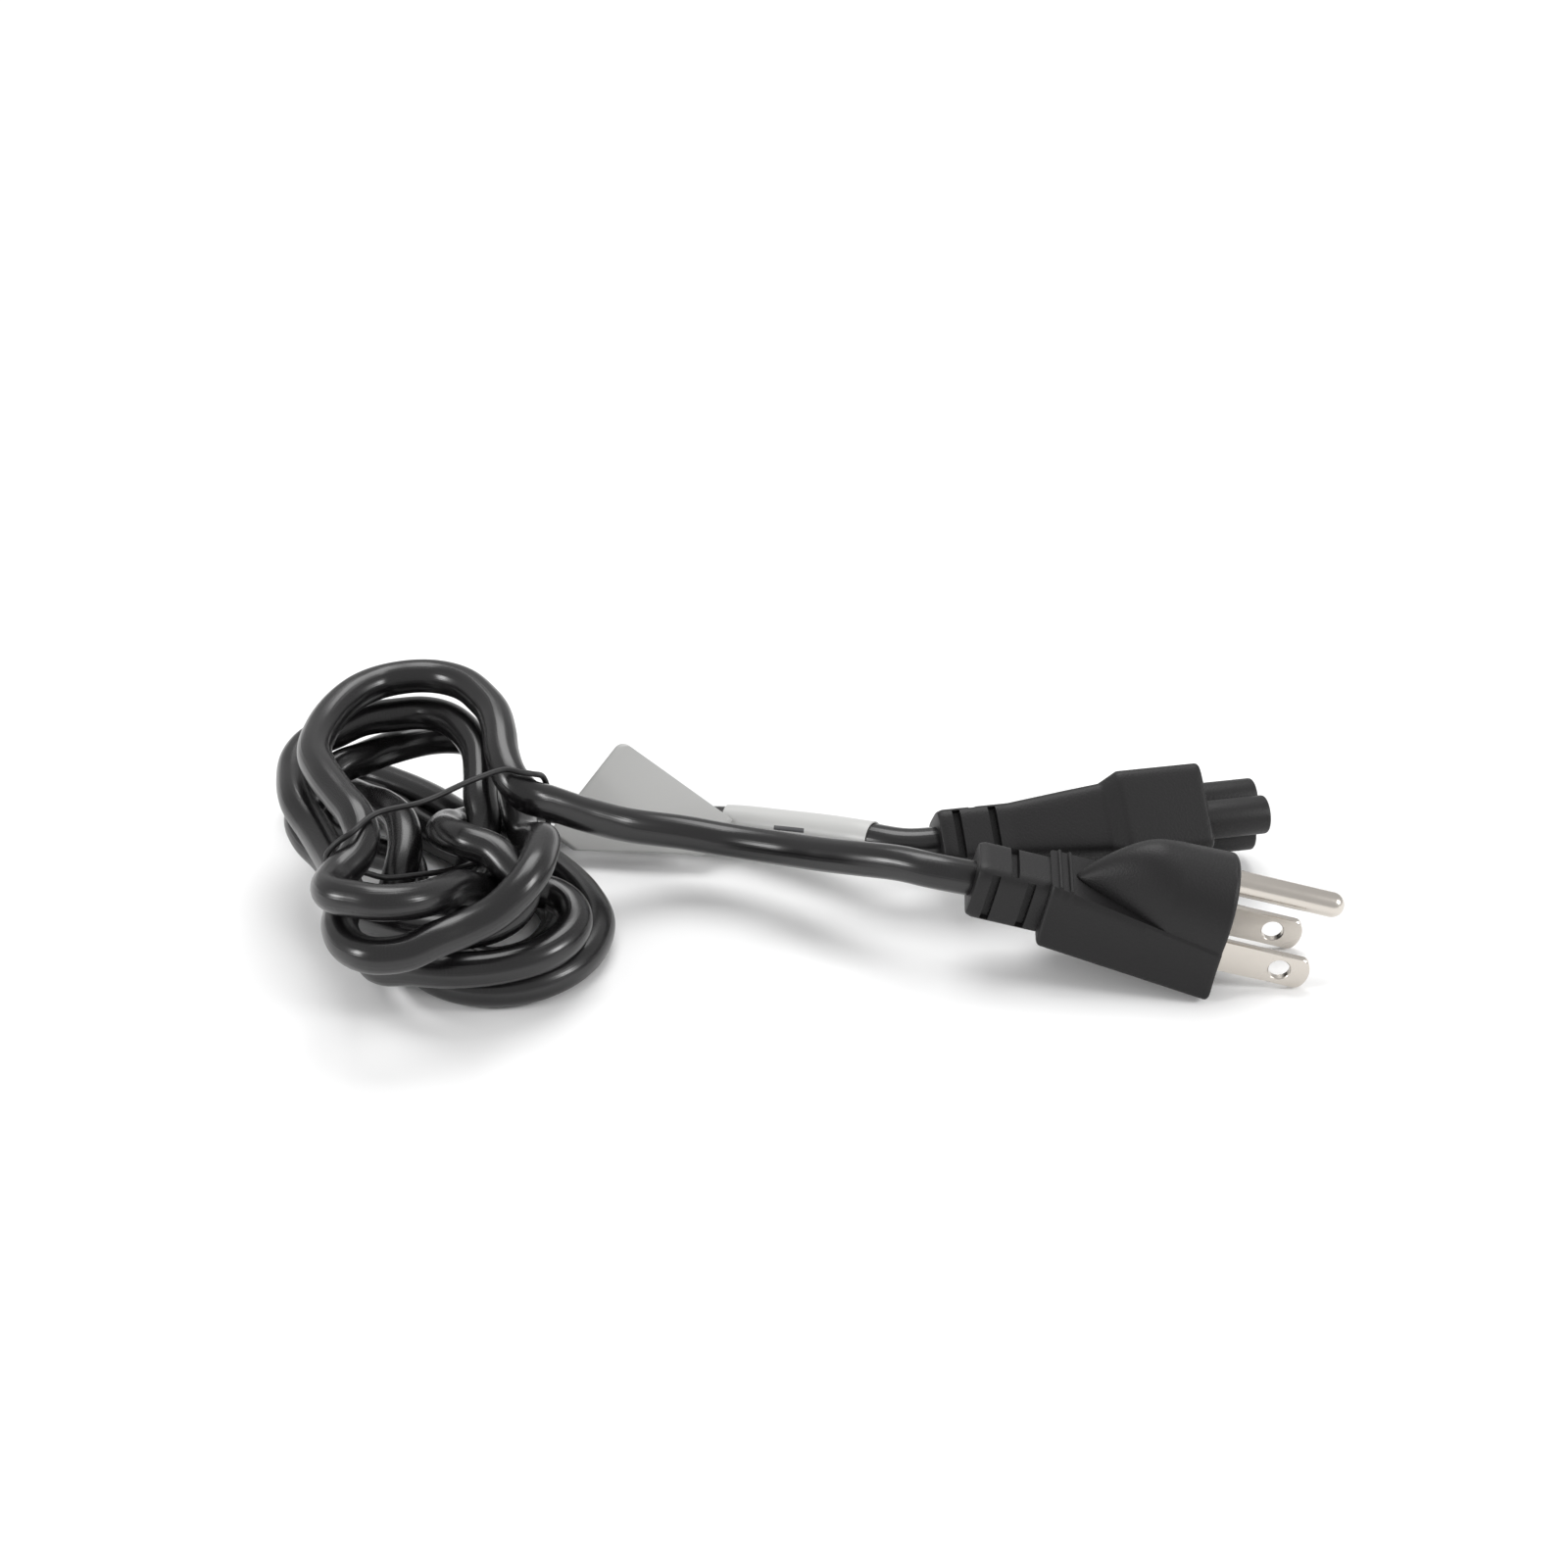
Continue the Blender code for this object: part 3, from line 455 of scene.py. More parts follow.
def tube(path, radius, sides, loop=False):
    """A round tube: ring point = path + radius (cos v across + sin v up), for v round the ring."""
    across, up = frames_along(path, loop)
    v = np.linspace(0, 2 * math.pi, sides, endpoint=False)
    radius = np.broadcast_to(np.asarray(radius, float), (len(path),))[:, None, None]
    circle = across[:, None] * np.cos(v)[None, :, None] + up[:, None] * np.sin(v)[None, :, None]
    return path[:, None] + radius * circle


def tube_uv(path, sides):
    """Millimetres along the tube, and the share of the way round it."""
    along = distances(path)
    u, v = np.meshgrid(along, np.linspace(0, 1, sides, endpoint=False), indexing="ij")
    return np.stack((u, v), axis=2).reshape(-1, 2)


def plug_stations(long):
    """Distances along the plug, closer together at its two rounded ends and at the grip ridges."""
    near_face = -MOULDED_EDGE * (1 - np.cos(np.linspace(math.pi / 2, 0, 6)))
    near_rear = -long + MOULDED_EDGE * (1 - np.cos(np.linspace(0, math.pi / 2, 5)))
    ridges = np.add.outer(GRIP_RIDGES, GRIP_STATIONS).ravel()
    body = np.linspace(-long + MOULDED_EDGE, -MOULDED_EDGE, 70)
    return np.unique(np.concatenate((near_rear, ridges, body, near_face)))


def plug_upper(x, crease, waist, shrink, columns):
    """The deck and the dome of the plug's outline, from its left edge over the top to its right edge.

    The dome is half an ellipse: y = leaf cos a, z = deck + height sin a to the power 0.95. Its height grows
    from the rear as a power of a sine, and its half width, the leaf, opens from a point.
    """
    rise = np.sin(math.pi / 2 * np.clip((x + DOME_POINT) / DOME_RISE_LENGTH, 0, 1)) ** 0.85
    height = (DOME_TOP - crease) * rise - shrink * rise
    deck = crease + DECK_STEP
    for middle in GRIP_RIDGES:
        deck += GRIP_HEIGHT * np.clip((GRIP_HALF - np.abs(x - middle)) / GRIP_SLOPE, 0, 1)
    leaf = waist * (0.05 + 0.95 * np.clip((x + DOME_POINT) / LEAF_LENGTH, 0, 1) ** 0.62)
    angle = np.linspace(0, math.pi, columns + 1)
    belly = 1 + 0.05 * rise[:, None] * np.sin(2 * np.minimum(angle, math.pi - angle))[None, :]
    dome_y = leaf[:, None] * np.cos(angle)[None, :] * belly
    dome_z = deck[:, None] + height[:, None] * np.sin(angle)[None, :] ** 0.95
    across = np.linspace(0, 1, 7)[None, :-1]
    hollow = DECK_HOLLOW * np.clip((x + DOME_POINT - 1.0) / 6.0, 0, 1) * (waist - leaf) / waist
    deck_y = waist[:, None] + (leaf - waist)[:, None] * across
    deck_z = deck[:, None] - hollow[:, None] * np.sin(math.pi * across)
    return np.hstack((deck_y, dome_y, -deck_y[:, ::-1])), np.hstack((deck_z, dome_z, deck_z[:, ::-1]))


def plug_rings(sizes, columns=48):
    """The plug's outline at stations from rear to face: a flat-sided foot, a small ledge, a deck and a dome.

    The flanks are straight lines from the ledge to the foot, a little hollow, and each lower corner is a
    quarter circle. The ends shrink by a quarter circle too.
    """
    x = plug_stations(sizes.body)
    share = 1 + x / sizes.body
    inward = np.maximum(MOULDED_EDGE + x, MOULDED_EDGE - (x + sizes.body))
    inward = np.clip(inward, 0, MOULDED_EDGE)
    shrink = MOULDED_EDGE - np.sqrt(np.maximum(MOULDED_EDGE**2 - inward**2, 0))
    bottom = -(FOOT_DEPTH + FOOT_DEPTH_GAIN * share) + shrink
    foot = FOOT_HALF + FOOT_HALF_GAIN * share - shrink
    crease = CREASE_HEIGHT - CREASE_DROP * share
    waist = WAIST_HALF + WAIST_HALF_GAIN * share - shrink
    upper_y, upper_z = plug_upper(x, crease, waist, shrink, columns)
    side = np.linspace(0, 1, 8)[None, :]
    top_y, top_z = (waist + LEDGE_WIDTH)[:, None], (crease - LEDGE_DROP)[:, None]
    low_y, low_z = foot[:, None], (bottom + MOULDED_EDGE)[:, None]
    flank_y = top_y + (low_y - top_y) * side - 0.25 * np.sin(math.pi * side)
    flank_z = top_z + (low_z - top_z) * side
    turn = np.linspace(0, math.pi / 2, 5)[None, 1:]
    corner_y = low_y - MOULDED_EDGE * (1 - np.cos(turn))
    corner_z = low_z - MOULDED_EDGE * np.sin(turn)
    under = np.linspace(1, -1, 9)[None, 1:-1]
    under_y = corner_y[:, -1:] * under
    under_z = corner_z[:, -1:] + 0 * under
    y = np.hstack((upper_y, -flank_y, -corner_y, -under_y, corner_y[:, ::-1], flank_y[:, ::-1]))
    z = np.hstack((upper_z, flank_z, corner_z, under_z, corner_z[:, ::-1], flank_z[:, ::-1]))
    return np.stack((np.broadcast_to(x[:, None], y.shape), y, z), axis=2)


def squared_rings(x, half, power, columns, slots, width):
    """Rings of a rounded square: radius = half / (|cos v|^power + |sin v|^power)^(1/power).

    In a slot's stretch of x, two opposite sides are pushed in over most of the width.
    """
    v = np.linspace(0, 2 * math.pi, columns, endpoint=False) + math.pi / columns
    c, s = np.cos(v)[None, :], np.sin(v)[None, :]
    power = np.broadcast_to(np.asarray(power, float), x.shape)[:, None]
    half = half[:, None]
    radius = half / (np.abs(c) ** power + np.abs(s) ** power) ** (1 / power)
    y, z = radius * c, radius * s
    for middle, sideways in slots:
        inside = (np.abs(x - middle) < SLOT_WIDTH / 2)[:, None]
        if sideways:
            mask = inside & (np.abs(z) < SLOT_SHARE * width)
            y = np.where(mask, np.clip(y, SLOT_DEPTH - half, half - SLOT_DEPTH), y)
        else:
            mask = inside & (np.abs(y) < SLOT_SHARE * width)
            z = np.where(mask, np.clip(z, SLOT_DEPTH - half, half - SLOT_DEPTH), z)
    return np.stack((np.broadcast_to(x[:, None], y.shape), y, z), axis=2)


def slot_stations(slots):
    """Stations just outside and inside each slot's two walls, so that the walls stand square."""
    walls = np.add.outer([middle for middle, _ in slots], (-SLOT_WIDTH / 2, SLOT_WIDTH / 2))
    return np.add.outer(walls, SLOT_WALL).ravel()


def relief_slots(rear, length):
    """The slots across a strain relief: each one's middle, and true where it is cut in the two sides."""
    return tuple((rear + length * (k + 1) / (SLOT_COUNT + 1), k % 2 == 0) for k in range(SLOT_COUNT))


def relief_start(rear):
    """Stations along the rounded rear end of a strain relief."""
    return rear + RELIEF_ROUNDING * (1 - np.cos(np.linspace(0, math.pi / 2, 7)))


def relief_half(x, rear, half):
    """Half the width of a strain relief, less near its rounded rear end."""
    return half - RELIEF_STEP + RELIEF_STEP * np.sqrt(np.clip((x - rear) / RELIEF_ROUNDING, 0.0, 1.0))


def lathe(profile, spot, columns=40):
    """A turned shape along x: ring point = (x, y0 + r cos v, z0 + r sin v) for each profile point (x, r)."""
    profile = np.array(profile, float)
    v = np.linspace(0, 2 * math.pi, columns, endpoint=False)
    y = spot[0] + profile[:, 1:] * np.cos(v)[None, :]
    z = spot[1] + profile[:, 1:] * np.sin(v)[None, :]
    return np.stack((np.broadcast_to(profile[:, :1], y.shape), y, z), axis=2)


def build_plug_body(sizes):
    """The plug's moulding: its body, and its strain relief as slotted rounded squares that run into it."""
    shells = [capped_grid(plug_rings(sizes))]
    rear = -sizes.body - sizes.relief
    slots = relief_slots(rear, sizes.relief)
    shaft = np.linspace(rear + RELIEF_ROUNDING, -sizes.body + 1.5, 16)
    x = np.unique(np.concatenate((relief_start(rear), slot_stations(slots), shaft)))
    half = relief_half(x, rear, sizes.relief_width / 2)
    shells.append(capped_grid(squared_rings(x, half, 5.0, 96, slots, sizes.relief_width)))
    points, faces = joined(shells)
    return placed(points, PLUG_TURN, PLUG_PLACE), faces


def build_blade(sizes, y):
    """A blade as rings round its hole: front and back outline, rounded by a small edge, and the hole's wall.

    Its tip's outline is (length - share of half the width (1 - cos a), half the width sin a).
    """
    half = sizes.blade_width / 2
    tip = np.linspace(-math.pi / 2, math.pi / 2, 25)
    tip_x = sizes.blade_length - half * BLADE_TIP_SHARE * (1 - np.cos(tip))
    outline = np.column_stack((tip_x, half * np.sin(tip)))
    outline = np.vstack((outline, (-PIN_ROOT, half), (-PIN_ROOT, -half), outline[:1]))
    along = distances(outline)
    wanted = np.linspace(0, along[-1], 121)[:-1]
    edge = np.column_stack([np.interp(wanted, along, outline[:, k]) for k in range(2)])
    centre = np.array((sizes.hole_distance, 0.0))
    angle = np.arctan2(edge[:, 1], edge[:, 0] - centre[0])
    ring = np.column_stack((np.cos(angle), np.sin(angle)))
    thick = sizes.blade_thickness / 2
    inset = (edge - centre) * (1 - BLADE_EDGE / np.linalg.norm(edge - centre, axis=1))[:, None] + centre
    rim = centre + ring * (sizes.hole / 2 + HOLE_EDGE)
    wall = centre + ring * (sizes.hole / 2)
    rows = (
        (inset, -thick), (edge, -thick + BLADE_EDGE), (edge, thick - BLADE_EDGE), (inset, thick),
        (rim, thick), (wall, thick - HOLE_EDGE), (wall, -thick + HOLE_EDGE), (rim, -thick),
    )
    points = [np.column_stack((p[:, 0], np.full(len(p), y + q), p[:, 1])) for p, q in rows]
    faces = [tuple(f) for f in grid_faces(len(rows), len(edge), loop=True)]
    return placed(np.vstack(points), PLUG_TURN, PLUG_PLACE), faces


def build_ground_pin(sizes):
    """The ground pin, turned: a straight shaft, and a round tip of (length - r (1 - sin a), r cos a)."""
    radius = sizes.ground / 2
    angle = np.linspace(0, 1.45, 10)
    tip_x = sizes.ground_length - radius * (1 - np.sin(angle))
    profile = [(-PIN_ROOT, radius), (0.0, radius), *zip(tip_x, radius * np.cos(angle))]
    points, faces = capped_grid(lathe(profile, (0.0, sizes.ground_height), 48))
    return placed(points, PLUG_TURN, PLUG_PLACE), faces


def build_connector_body(sizes):
    """The slotted strain relief, neck, flare and block: one run of rounded squares that widen and sharpen."""
    front = -sizes.lobe_length
    flare = front - sizes.block
    neck = flare - sizes.flare
    shoulder = neck - sizes.neck
    rear = shoulder - sizes.relief
    slots = relief_slots(rear, sizes.relief)
    edge = front - MOULDED_EDGE * (1 - np.cos(np.linspace(math.pi / 2, 0, 6)))
    shaft = np.linspace(rear + RELIEF_ROUNDING, front - MOULDED_EDGE, 90)
    x = np.unique(np.concatenate((relief_start(rear), slot_stations(slots), shaft, edge)))
    keys = (rear, shoulder, neck - sizes.neck / 3, neck, flare, front)
    wide, slim, mid = sizes.block_width / 2, sizes.relief_width / 2, sizes.neck_width / 2
    half = np.interp(x, keys, (slim, slim, mid * 0.94, mid, wide, wide))
    half += relief_half(x, rear, 0.0)
    inward = np.clip(MOULDED_EDGE - (front - x), 0, MOULDED_EDGE)
    half -= MOULDED_EDGE - np.sqrt(MOULDED_EDGE**2 - inward**2)
    power = np.interp(x, keys, (5.0, 5.0, 6.0, 7.0, 9.0, 9.0))
    rings = squared_rings(x, half, power, 112, slots, sizes.relief_width)
    rings[:, :, 2] += sizes.below
    return capped_grid(rings)


def build_connector(sizes):
    """The connector's moulding: its body, three turned lobes with a socket each, and a core between them."""
    root = -sizes.lobe_length - LOBE_ROOT
    radius = sizes.lobe / 2
    profile = (
        (root, radius), (-0.6, radius), (-0.3, radius - 0.08), (-0.08, radius - 0.3), (0.0, radius - 0.6),
        (0.0, SOCKET_RADIUS + 0.3), (-0.25, SOCKET_RADIUS + 0.05), (-SOCKET_DEPTH, SOCKET_RADIUS),
    )
    shells = [build_connector_body(sizes)]
    for spot in ((sizes.spacing / 2, 0.0), (-sizes.spacing / 2, 0.0), (0.0, sizes.earth)):
        shells.append(capped_grid(lathe(profile, spot)))
    core = ((root, radius), (-0.9, radius), (-0.5, radius - 0.4))
    shells.append(capped_grid(lathe(core, (0.0, sizes.earth / 3))))
    points, faces = joined(shells)
    return placed(points, CONNECTOR_TURN, CONNECTOR_PLACE), faces


def moulding_point(x, z, turn, place):
    """One point on a moulding's own axis, in the part's frame."""
    return placed(np.array(((x, 0.0, z),)), turn, place)[0]


def cord_path(settings):
    """The cord's middle line, from inside the plug's strain relief to inside the connector's."""
    plug, connector = settings.plug, settings.connector
    route = np.array(ROUTE)
    start = CORD_TUCK - plug.body - plug.relief
    route[0] = moulding_point(start, 0.0, PLUG_TURN, PLUG_PLACE) + MIDDLE
    reach = connector.lobe_length + connector.block + connector.flare + connector.neck + connector.relief
    end = moulding_point(CORD_TUCK - reach, connector.below, CONNECTOR_TURN, CONNECTOR_PLACE)
    route[-1] = end + MIDDLE
    return smooth_route(route)


def build_tie(sizes):
    """The tie: a thin closed loop of wire round the upper strands."""
    path = smooth_route(TIE, closed=True)[:-1]
    rings = tube(path, sizes.tie / 2, 12, loop=True)
    return rings.reshape(-1, 3), grid_faces(len(path), 12, loop=True)


def build_wrap(path, sizes, sides=48):
    """The wrapped label: an outer and an inner tube round the lead, joined at both ends."""
    line = stretch(path[::-1], sizes.wrap_start, sizes.wrap_start + sizes.wrap)
    radius = sizes.diameter / 2 + WRAP_GAP
    outer = tube(line, radius + sizes.film, sides)
    inner = tube(line, radius, sides)[::-1]
    points = np.vstack((outer.reshape(-1, 3), inner.reshape(-1, 3)))
    uv = tube_uv(line, sides)
    uv = np.vstack((uv, uv.reshape(len(line), sides, 2)[::-1].reshape(-1, 2)))
    return points, grid_faces(2 * len(line), sides, loop=True), uv, line


def build_flag(sizes):
    """The tag as a sheet: point = corner + a side + b drop + curl out, with b from its low to its high edge.

    The low edge is a quarter circle near the rounded corner, and the high edge falls towards the cut corner.
    """
    side = np.array(FLAG_SIDE) / np.linalg.norm(FLAG_SIDE)
    drop = np.array(FLAG_DROP) - side * np.dot(FLAG_DROP, side)
    drop /= np.linalg.norm(drop)
    out = np.cross(side, drop)
    wide, tall, corner = sizes.flag_width, sizes.flag_height, TAG_ROUNDING
    rounded = corner * (1 - np.cos(np.linspace(0, math.pi / 2, 8)))
    a = np.concatenate((rounded, np.linspace(corner, wide, 24)[1:]))
    low = corner - np.sqrt(np.maximum(corner**2 - np.clip(corner - a, 0, corner) ** 2, 0))
    high = np.interp(a, (0, wide * TAG_CUT_START, wide), (tall, tall, tall * TAG_CUT_END))
    b = low[:, None] + (high - low)[:, None] * np.linspace(0, 1, 26)[None, :]
    a = np.broadcast_to(a[:, None], b.shape)
    curl = TAG_CURL * np.sin(math.pi * a / wide) * np.sin(math.pi * b / tall)
    points = np.array(FLAG_CORNER) - MIDDLE
    points = points + a[..., None] * side + b[..., None] * drop + curl[..., None] * out
    rows, columns = b.shape
    first = (np.arange(rows - 1)[:, None] * columns + np.arange(columns - 1)[None, :])[..., None]
    quads = first + np.array((0, 1, columns + 1, columns))
    return points.reshape(-1, 3), quads.reshape(-1, 4)


def grain_group():
    """A node group of fine grain and soft smudges: Height for a bump and Smudge from 0 to 1."""
    name = "Fine grain"
    if name in bpy.data.node_groups:
        return bpy.data.node_groups[name]
    group = bpy.data.node_groups.new(name, "ShaderNodeTree")
    group.interface.new_socket(name="Position", in_out="INPUT", socket_type="NodeSocketVector")
    group.interface.new_socket(name="Fineness", in_out="INPUT", socket_type="NodeSocketFloat")
    group.interface.new_socket(name="Height", in_out="OUTPUT", socket_type="NodeSocketFloat")
    group.interface.new_socket(name="Smudge", in_out="OUTPUT", socket_type="NodeSocketFloat")
    nodes, links = group.nodes, group.links
    entry, leave = nodes.new("NodeGroupInput"), nodes.new("NodeGroupOutput")
    fine, broad = nodes.new("ShaderNodeTexNoise"), nodes.new("ShaderNodeTexNoise")
    fine.inputs["Detail"].default_value = 3.0
    broad.inputs["Detail"].default_value = 2.0
    broad.inputs["Scale"].default_value = 90.0
    links.new(entry.outputs["Position"], fine.inputs["Vector"])
    links.new(entry.outputs["Position"], broad.inputs["Vector"])
    links.new(entry.outputs["Fineness"], fine.inputs["Scale"])
    links.new(fine.outputs["Fac"], leave.inputs["Height"])
    links.new(broad.outputs["Fac"], leave.inputs["Smudge"])
    return group


def finish_material(name, colour, rough, fineness, bump, metallic=0.0, specular=0.5, uv_scale=None):
    """A Principled finish whose roughness wanders between two values and whose surface has a fine grain."""
    made = bpy.data.materials.new(name)
    made.use_nodes = True
    nodes, links = made.node_tree.nodes, made.node_tree.links
    shader = nodes["Principled BSDF"]
    shader.inputs["Base Color"].default_value = colour
    shader.inputs["Metallic"].default_value = metallic
    shader.inputs["Specular IOR Level"].default_value = specular
    where = nodes.new("ShaderNodeTexCoord")
    grain = nodes.new("ShaderNodeGroup")
    grain.node_tree = grain_group()
    grain.inputs["Fineness"].default_value = fineness
    if uv_scale:
        mapping = nodes.new("ShaderNodeMapping")
        mapping.inputs["Scale"].default_value = uv_scale
        links.new(where.outputs["UV"], mapping.inputs["Vector"])
        links.new(mapping.outputs["Vector"], grain.inputs["Position"])
    else:
        links.new(where.outputs["Object"], grain.inputs["Position"])
    spread = nodes.new("ShaderNodeMapRange")
    spread.inputs["To Min"].default_value = rough[0]
    spread.inputs["To Max"].default_value = rough[1]
    links.new(grain.outputs["Smudge"], spread.inputs["Value"])
    links.new(spread.outputs["Result"], shader.inputs["Roughness"])
    relief = nodes.new("ShaderNodeBump")
    relief.inputs["Strength"].default_value = bump
    relief.inputs["Distance"].default_value = 0.0002
    links.new(grain.outputs["Height"], relief.inputs["Height"])
    links.new(relief.outputs["Normal"], shader.inputs["Normal"])
    return made


def band_mask(nodes, links, value, low, high):
    """1 between two values and 0 outside."""
    above, below, both = (nodes.new("ShaderNodeMath") for _ in range(3))
    above.operation, below.operation, both.operation = "GREATER_THAN", "LESS_THAN", "MULTIPLY"
    above.inputs[1].default_value, below.inputs[1].default_value = low, high
    links.new(value, above.inputs[0])
    links.new(value, below.inputs[0])
    links.new(above.outputs[0], both.inputs[0])
    links.new(below.outputs[0], both.inputs[1])
    return both.outputs[0]


def barred_film(colour, ink, middle):
    """White film with plain dark bars along the lead, on the side that lies at the middle share round it."""
    made = finish_material("Barred film", colour, (0.28, 0.4), 700.0, 0.05)
    nodes, links = made.node_tree.nodes, made.node_tree.links
    where = nodes.new("ShaderNodeTexCoord")
    split = nodes.new("ShaderNodeSeparateXYZ")
    links.new(where.outputs["UV"], split.inputs["Vector"])
    length = band_mask(nodes, links, split.outputs["X"], *BAR_SPAN)
    total = None
    for offset, half in BARS:
        place = middle + offset
        bar = band_mask(nodes, links, split.outputs["Y"], place - half, place + half)
        if total is None:
            total = bar
            continue
        either = nodes.new("ShaderNodeMath")
        either.operation = "MAXIMUM"
        links.new(total, either.inputs[0])
        links.new(bar, either.inputs[1])
        total = either.outputs[0]
    mask = nodes.new("ShaderNodeMath")
    mask.operation = "MULTIPLY"
    links.new(total, mask.inputs[0])
    links.new(length, mask.inputs[1])
    mix = nodes.new("ShaderNodeMix")
    mix.data_type = "RGBA"
    mix.inputs[6].default_value = colour
    mix.inputs[7].default_value = ink
    links.new(mask.outputs[0], mix.inputs[0])
    links.new(mix.outputs[2], nodes["Principled BSDF"].inputs["Base Color"])
    return made


def settle(obj, material, slot, *nodes):
    """Gives a piece its finish, hangs it under the root body and hides the CAD nodes that it stands for; the
    slot is not used.
    """
    obj.data.materials.append(material)
    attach(obj, "root")
    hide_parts(*nodes)
    return obj


class PowerCordSettings(bpy.types.PropertyGroup):
    """Everything that a user would change."""

    cord: bpy.props.PointerProperty(type=CordSizes, name="Cord", description="Cord, tie and labels")
    plug: bpy.props.PointerProperty(type=PlugSizes, name="Plug", description="Plug and pins")
    connector: bpy.props.PointerProperty(
        type=ConnectorSizes, name="Connector", description="Three-lobed connector"
    )
    colours: bpy.props.PointerProperty(
        type=PowerCordColours, name="Colours", description="Colours of the finishes"
    )


class POWERCORD_OT_stage(bpy.types.Operator):
    """Adds the camera, the pale floor and the soft studio lights"""

    bl_idname = "power_cord.stage"
    bl_label = "Stage"

    def execute(self, context):
        scene = context.scene
        lens = bpy.data.cameras.new("photo_camera")
        lens.lens = CAMERA_LENS
        lens.sensor_width = CAMERA_SENSOR
        lens.clip_start = 0.01
        camera = bpy.data.objects.new("photo_camera", lens)
        scene.collection.objects.link(camera)
        camera.location = CAMERA_PLACE
        camera.rotation_euler = (math.radians(90.0 - CAMERA_DIP), 0.0, 0.0)
        scene.camera = camera
        world = bpy.data.worlds.new("studio")
        scene.world = world
        world.use_nodes = True
        sky = world.node_tree.nodes["Background"]
        sky.inputs["Color"].default_value = (1.0, 1.0, 1.0, 1.0)
        sky.inputs["Strength"].default_value = SKY_STRENGTH
        scene.view_settings.view_transform = "Standard"
        corners = FLOOR_REACH * np.array(((-1, -1, 0), (1, -1, 0), (1, 1, 0), (-1, 1, 0)))
        floor = mesh_object("floor", corners, [(0, 1, 2, 3)])
        floor.location.z = -FLOOR_DROP
        paper = bpy.data.materials.new("Studio paper")
        paper.use_nodes = True
        shader = paper.node_tree.nodes["Principled BSDF"]
        shader.inputs["Base Color"].default_value = PAPER
        shader.inputs["Roughness"].default_value = 0.9
        floor.data.materials.append(paper)
        for name, spot, size, power in LAMPS:
            lamp = bpy.data.lights.new(name, "AREA")
            lamp.size = size
            lamp.energy = power
            obj = bpy.data.objects.new(name, lamp)
            scene.collection.objects.link(obj)
            obj.location = spot
            aim = np.array((0.0, 0.0, 0.02)) - np.array(spot)
            level = math.hypot(aim[0], aim[1])
            heading = math.atan2(aim[1], aim[0]) - math.pi / 2
            obj.rotation_euler = (math.atan2(level, -aim[2]), 0.0, heading)
        return {"FINISHED"}


class POWERCORD_OT_cord(bpy.types.Operator):
    """Adds the round cord along its route in the hank"""

    bl_idname = "power_cord.cord"
    bl_label = "Cord"

    def execute(self, context):
        settings = context.scene.power_cord
        path = cord_path(settings)
        sides = 32
        points, faces = capped_grid(tube(path, settings.cord.diameter / 2, sides))
        cord = mesh_object("cord", points, faces, 60.0, tube_uv(path, sides))
        jacket = finish_material(
            "Jacket", settings.colours.jacket, (0.2, 0.32), 1.0, 0.35, specular=0.6,
            uv_scale=(0.02, 26.0, 1.0),
        )
        settle(cord, jacket, "cord_pvc", "power_cord")
        return {"FINISHED"}


class POWERCORD_OT_plug(bpy.types.Operator):
    """Adds the plug's moulding, its two blades and its ground pin"""

    bl_idname = "power_cord.plug"
    bl_label = "Plug"

    def execute(self, context):
        settings = context.scene.power_cord
        sizes, colours = settings.plug, settings.colours
        moulding = finish_material("Moulding", colours.moulding, (0.42, 0.55), 2600.0, 0.3, specular=0.35)
        body = mesh_object("plug_moulding", *build_plug_body(sizes), 28.0)
        settle(body, moulding, "moulded_pvc", "plug_body")
        plating = finish_material("Plating", colours.plating, (0.2, 0.32), 900.0, 0.12, metallic=1.0)
        for side, word in ((1, "left"), (-1, "right")):
            blade = mesh_object(f"blade_{word}", *build_blade(sizes, side * sizes.pin_spacing / 2), 30.0)
            settle(blade, plating, "nickel", f"plug_blade_{word}")
        pin = mesh_object("ground_pin", *build_ground_pin(sizes), 40.0)
        settle(pin, plating, "nickel", "plug_ground_pin")
        return {"FINISHED"}


class POWERCORD_OT_connector(bpy.types.Operator):
    """Adds the three-lobed connector's moulding"""

    bl_idname = "power_cord.connector"
    bl_label = "Connector"

    def execute(self, context):
        settings = context.scene.power_cord
        moulding = bpy.data.materials.get("Moulding")
        piece = mesh_object("connector_moulding", *build_connector(settings.connector), 28.0)
        settle(piece, moulding, "moulded_pvc", "connector_body")
        return {"FINISHED"}


class POWERCORD_OT_tie(bpy.types.Operator):
    """Adds the thin tie round the waist of the hank"""

    bl_idname = "power_cord.tie"
    bl_label = "Tie"

    def execute(self, context):
        settings = context.scene.power_cord
        material = finish_material("Tie wire", settings.colours.jacket, (0.4, 0.55), 1500.0, 0.3)
        piece = mesh_object("tie", *build_tie(settings.cord), 60.0)
        settle(piece, material, "tie_plastic", "tie_wire")
        return {"FINISHED"}


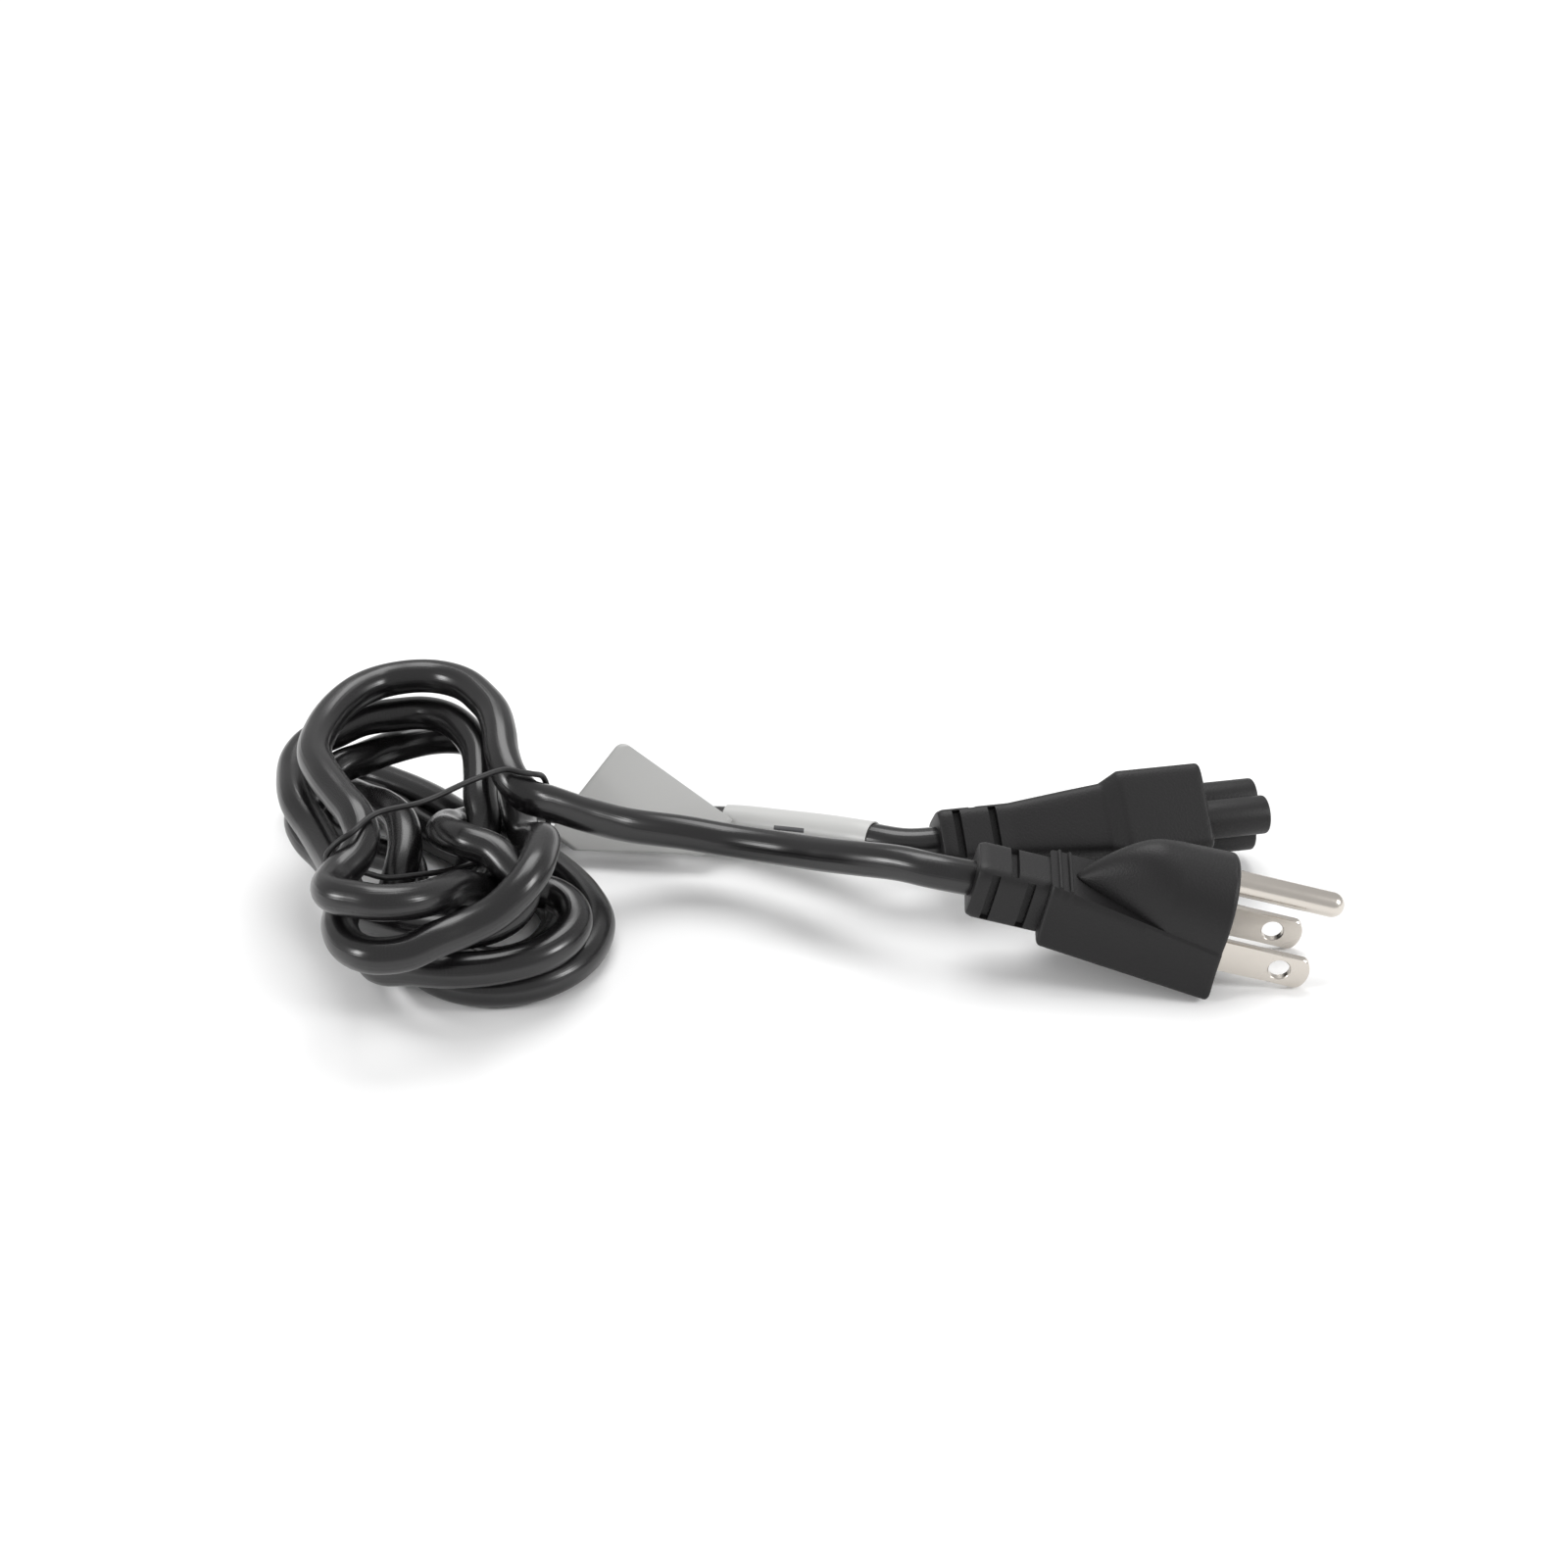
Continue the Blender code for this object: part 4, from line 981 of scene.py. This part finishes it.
class POWERCORD_OT_labels(bpy.types.Operator):
    """Adds the bare tag and the wrapped label with its plain bars"""

    bl_idname = "power_cord.labels"
    bl_label = "Labels"

    def execute(self, context):
        settings = context.scene.power_cord
        sizes, colours = settings.cord, settings.colours
        film = finish_material("White film", colours.film, (0.3, 0.42), 700.0, 0.05)
        tag = mesh_object("tag", *build_flag(sizes), 60.0)
        thick = tag.modifiers.new("thickness", "SOLIDIFY")
        thick.thickness = sizes.film * MM
        thick.offset = 0.0
        settle(tag, film, "label_paper", "flag_label")
        points, faces, uv, line = build_wrap(cord_path(settings), sizes)
        across, up = frames_along(line)
        dip = math.radians(CAMERA_DIP)
        towards = np.array((0.0, -math.cos(dip), math.sin(dip)))
        middle = len(line) // 2
        turn = math.atan2(up[middle] @ towards, across[middle] @ towards) / (2 * math.pi) % 1.0
        barred = barred_film(colours.film, colours.ink, turn)
        wrap = mesh_object("wrap", points, faces, 60.0, uv)
        settle(wrap, barred, "label_paper", "wrap_label")
        return {"FINISHED"}


class POWERCORD_PT_panel(bpy.types.Panel):
    """Lists the steps that build the cord"""

    bl_idname = "POWERCORD_PT_panel"
    bl_label = "Power Cord"
    bl_space_type = "VIEW_3D"
    bl_region_type = "UI"
    bl_category = "Power Cord"

    def draw(self, context):
        column = self.layout.column()
        for operator in OPERATORS:
            column.operator(operator.bl_idname)
        settings = context.scene.power_cord
        for group in (settings.cord, settings.plug, settings.connector, settings.colours):
            box = self.layout.box()
            for name in type(group).__annotations__:
                box.prop(group, name)


OPERATORS = (
    POWERCORD_OT_stage,
    POWERCORD_OT_cord,
    POWERCORD_OT_plug,
    POWERCORD_OT_connector,
    POWERCORD_OT_tie,
    POWERCORD_OT_labels,
)
CLASSES = (
    CordSizes, PlugSizes, ConnectorSizes, PowerCordColours, PowerCordSettings, *OPERATORS,
    POWERCORD_PT_panel,
)


def register():
    for made in CLASSES:
        bpy.utils.register_class(made)
    bpy.types.Scene.power_cord = bpy.props.PointerProperty(type=PowerCordSettings)


def unregister():
    del bpy.types.Scene.power_cord
    for made in reversed(CLASSES):
        bpy.utils.unregister_class(made)


def main():
    register()
    bpy.ops.power_cord.stage()
    bpy.ops.power_cord.cord()
    bpy.ops.power_cord.plug()
    bpy.ops.power_cord.connector()
    bpy.ops.power_cord.tie()
    bpy.ops.power_cord.labels()


if __name__ == "__main__":
    main()
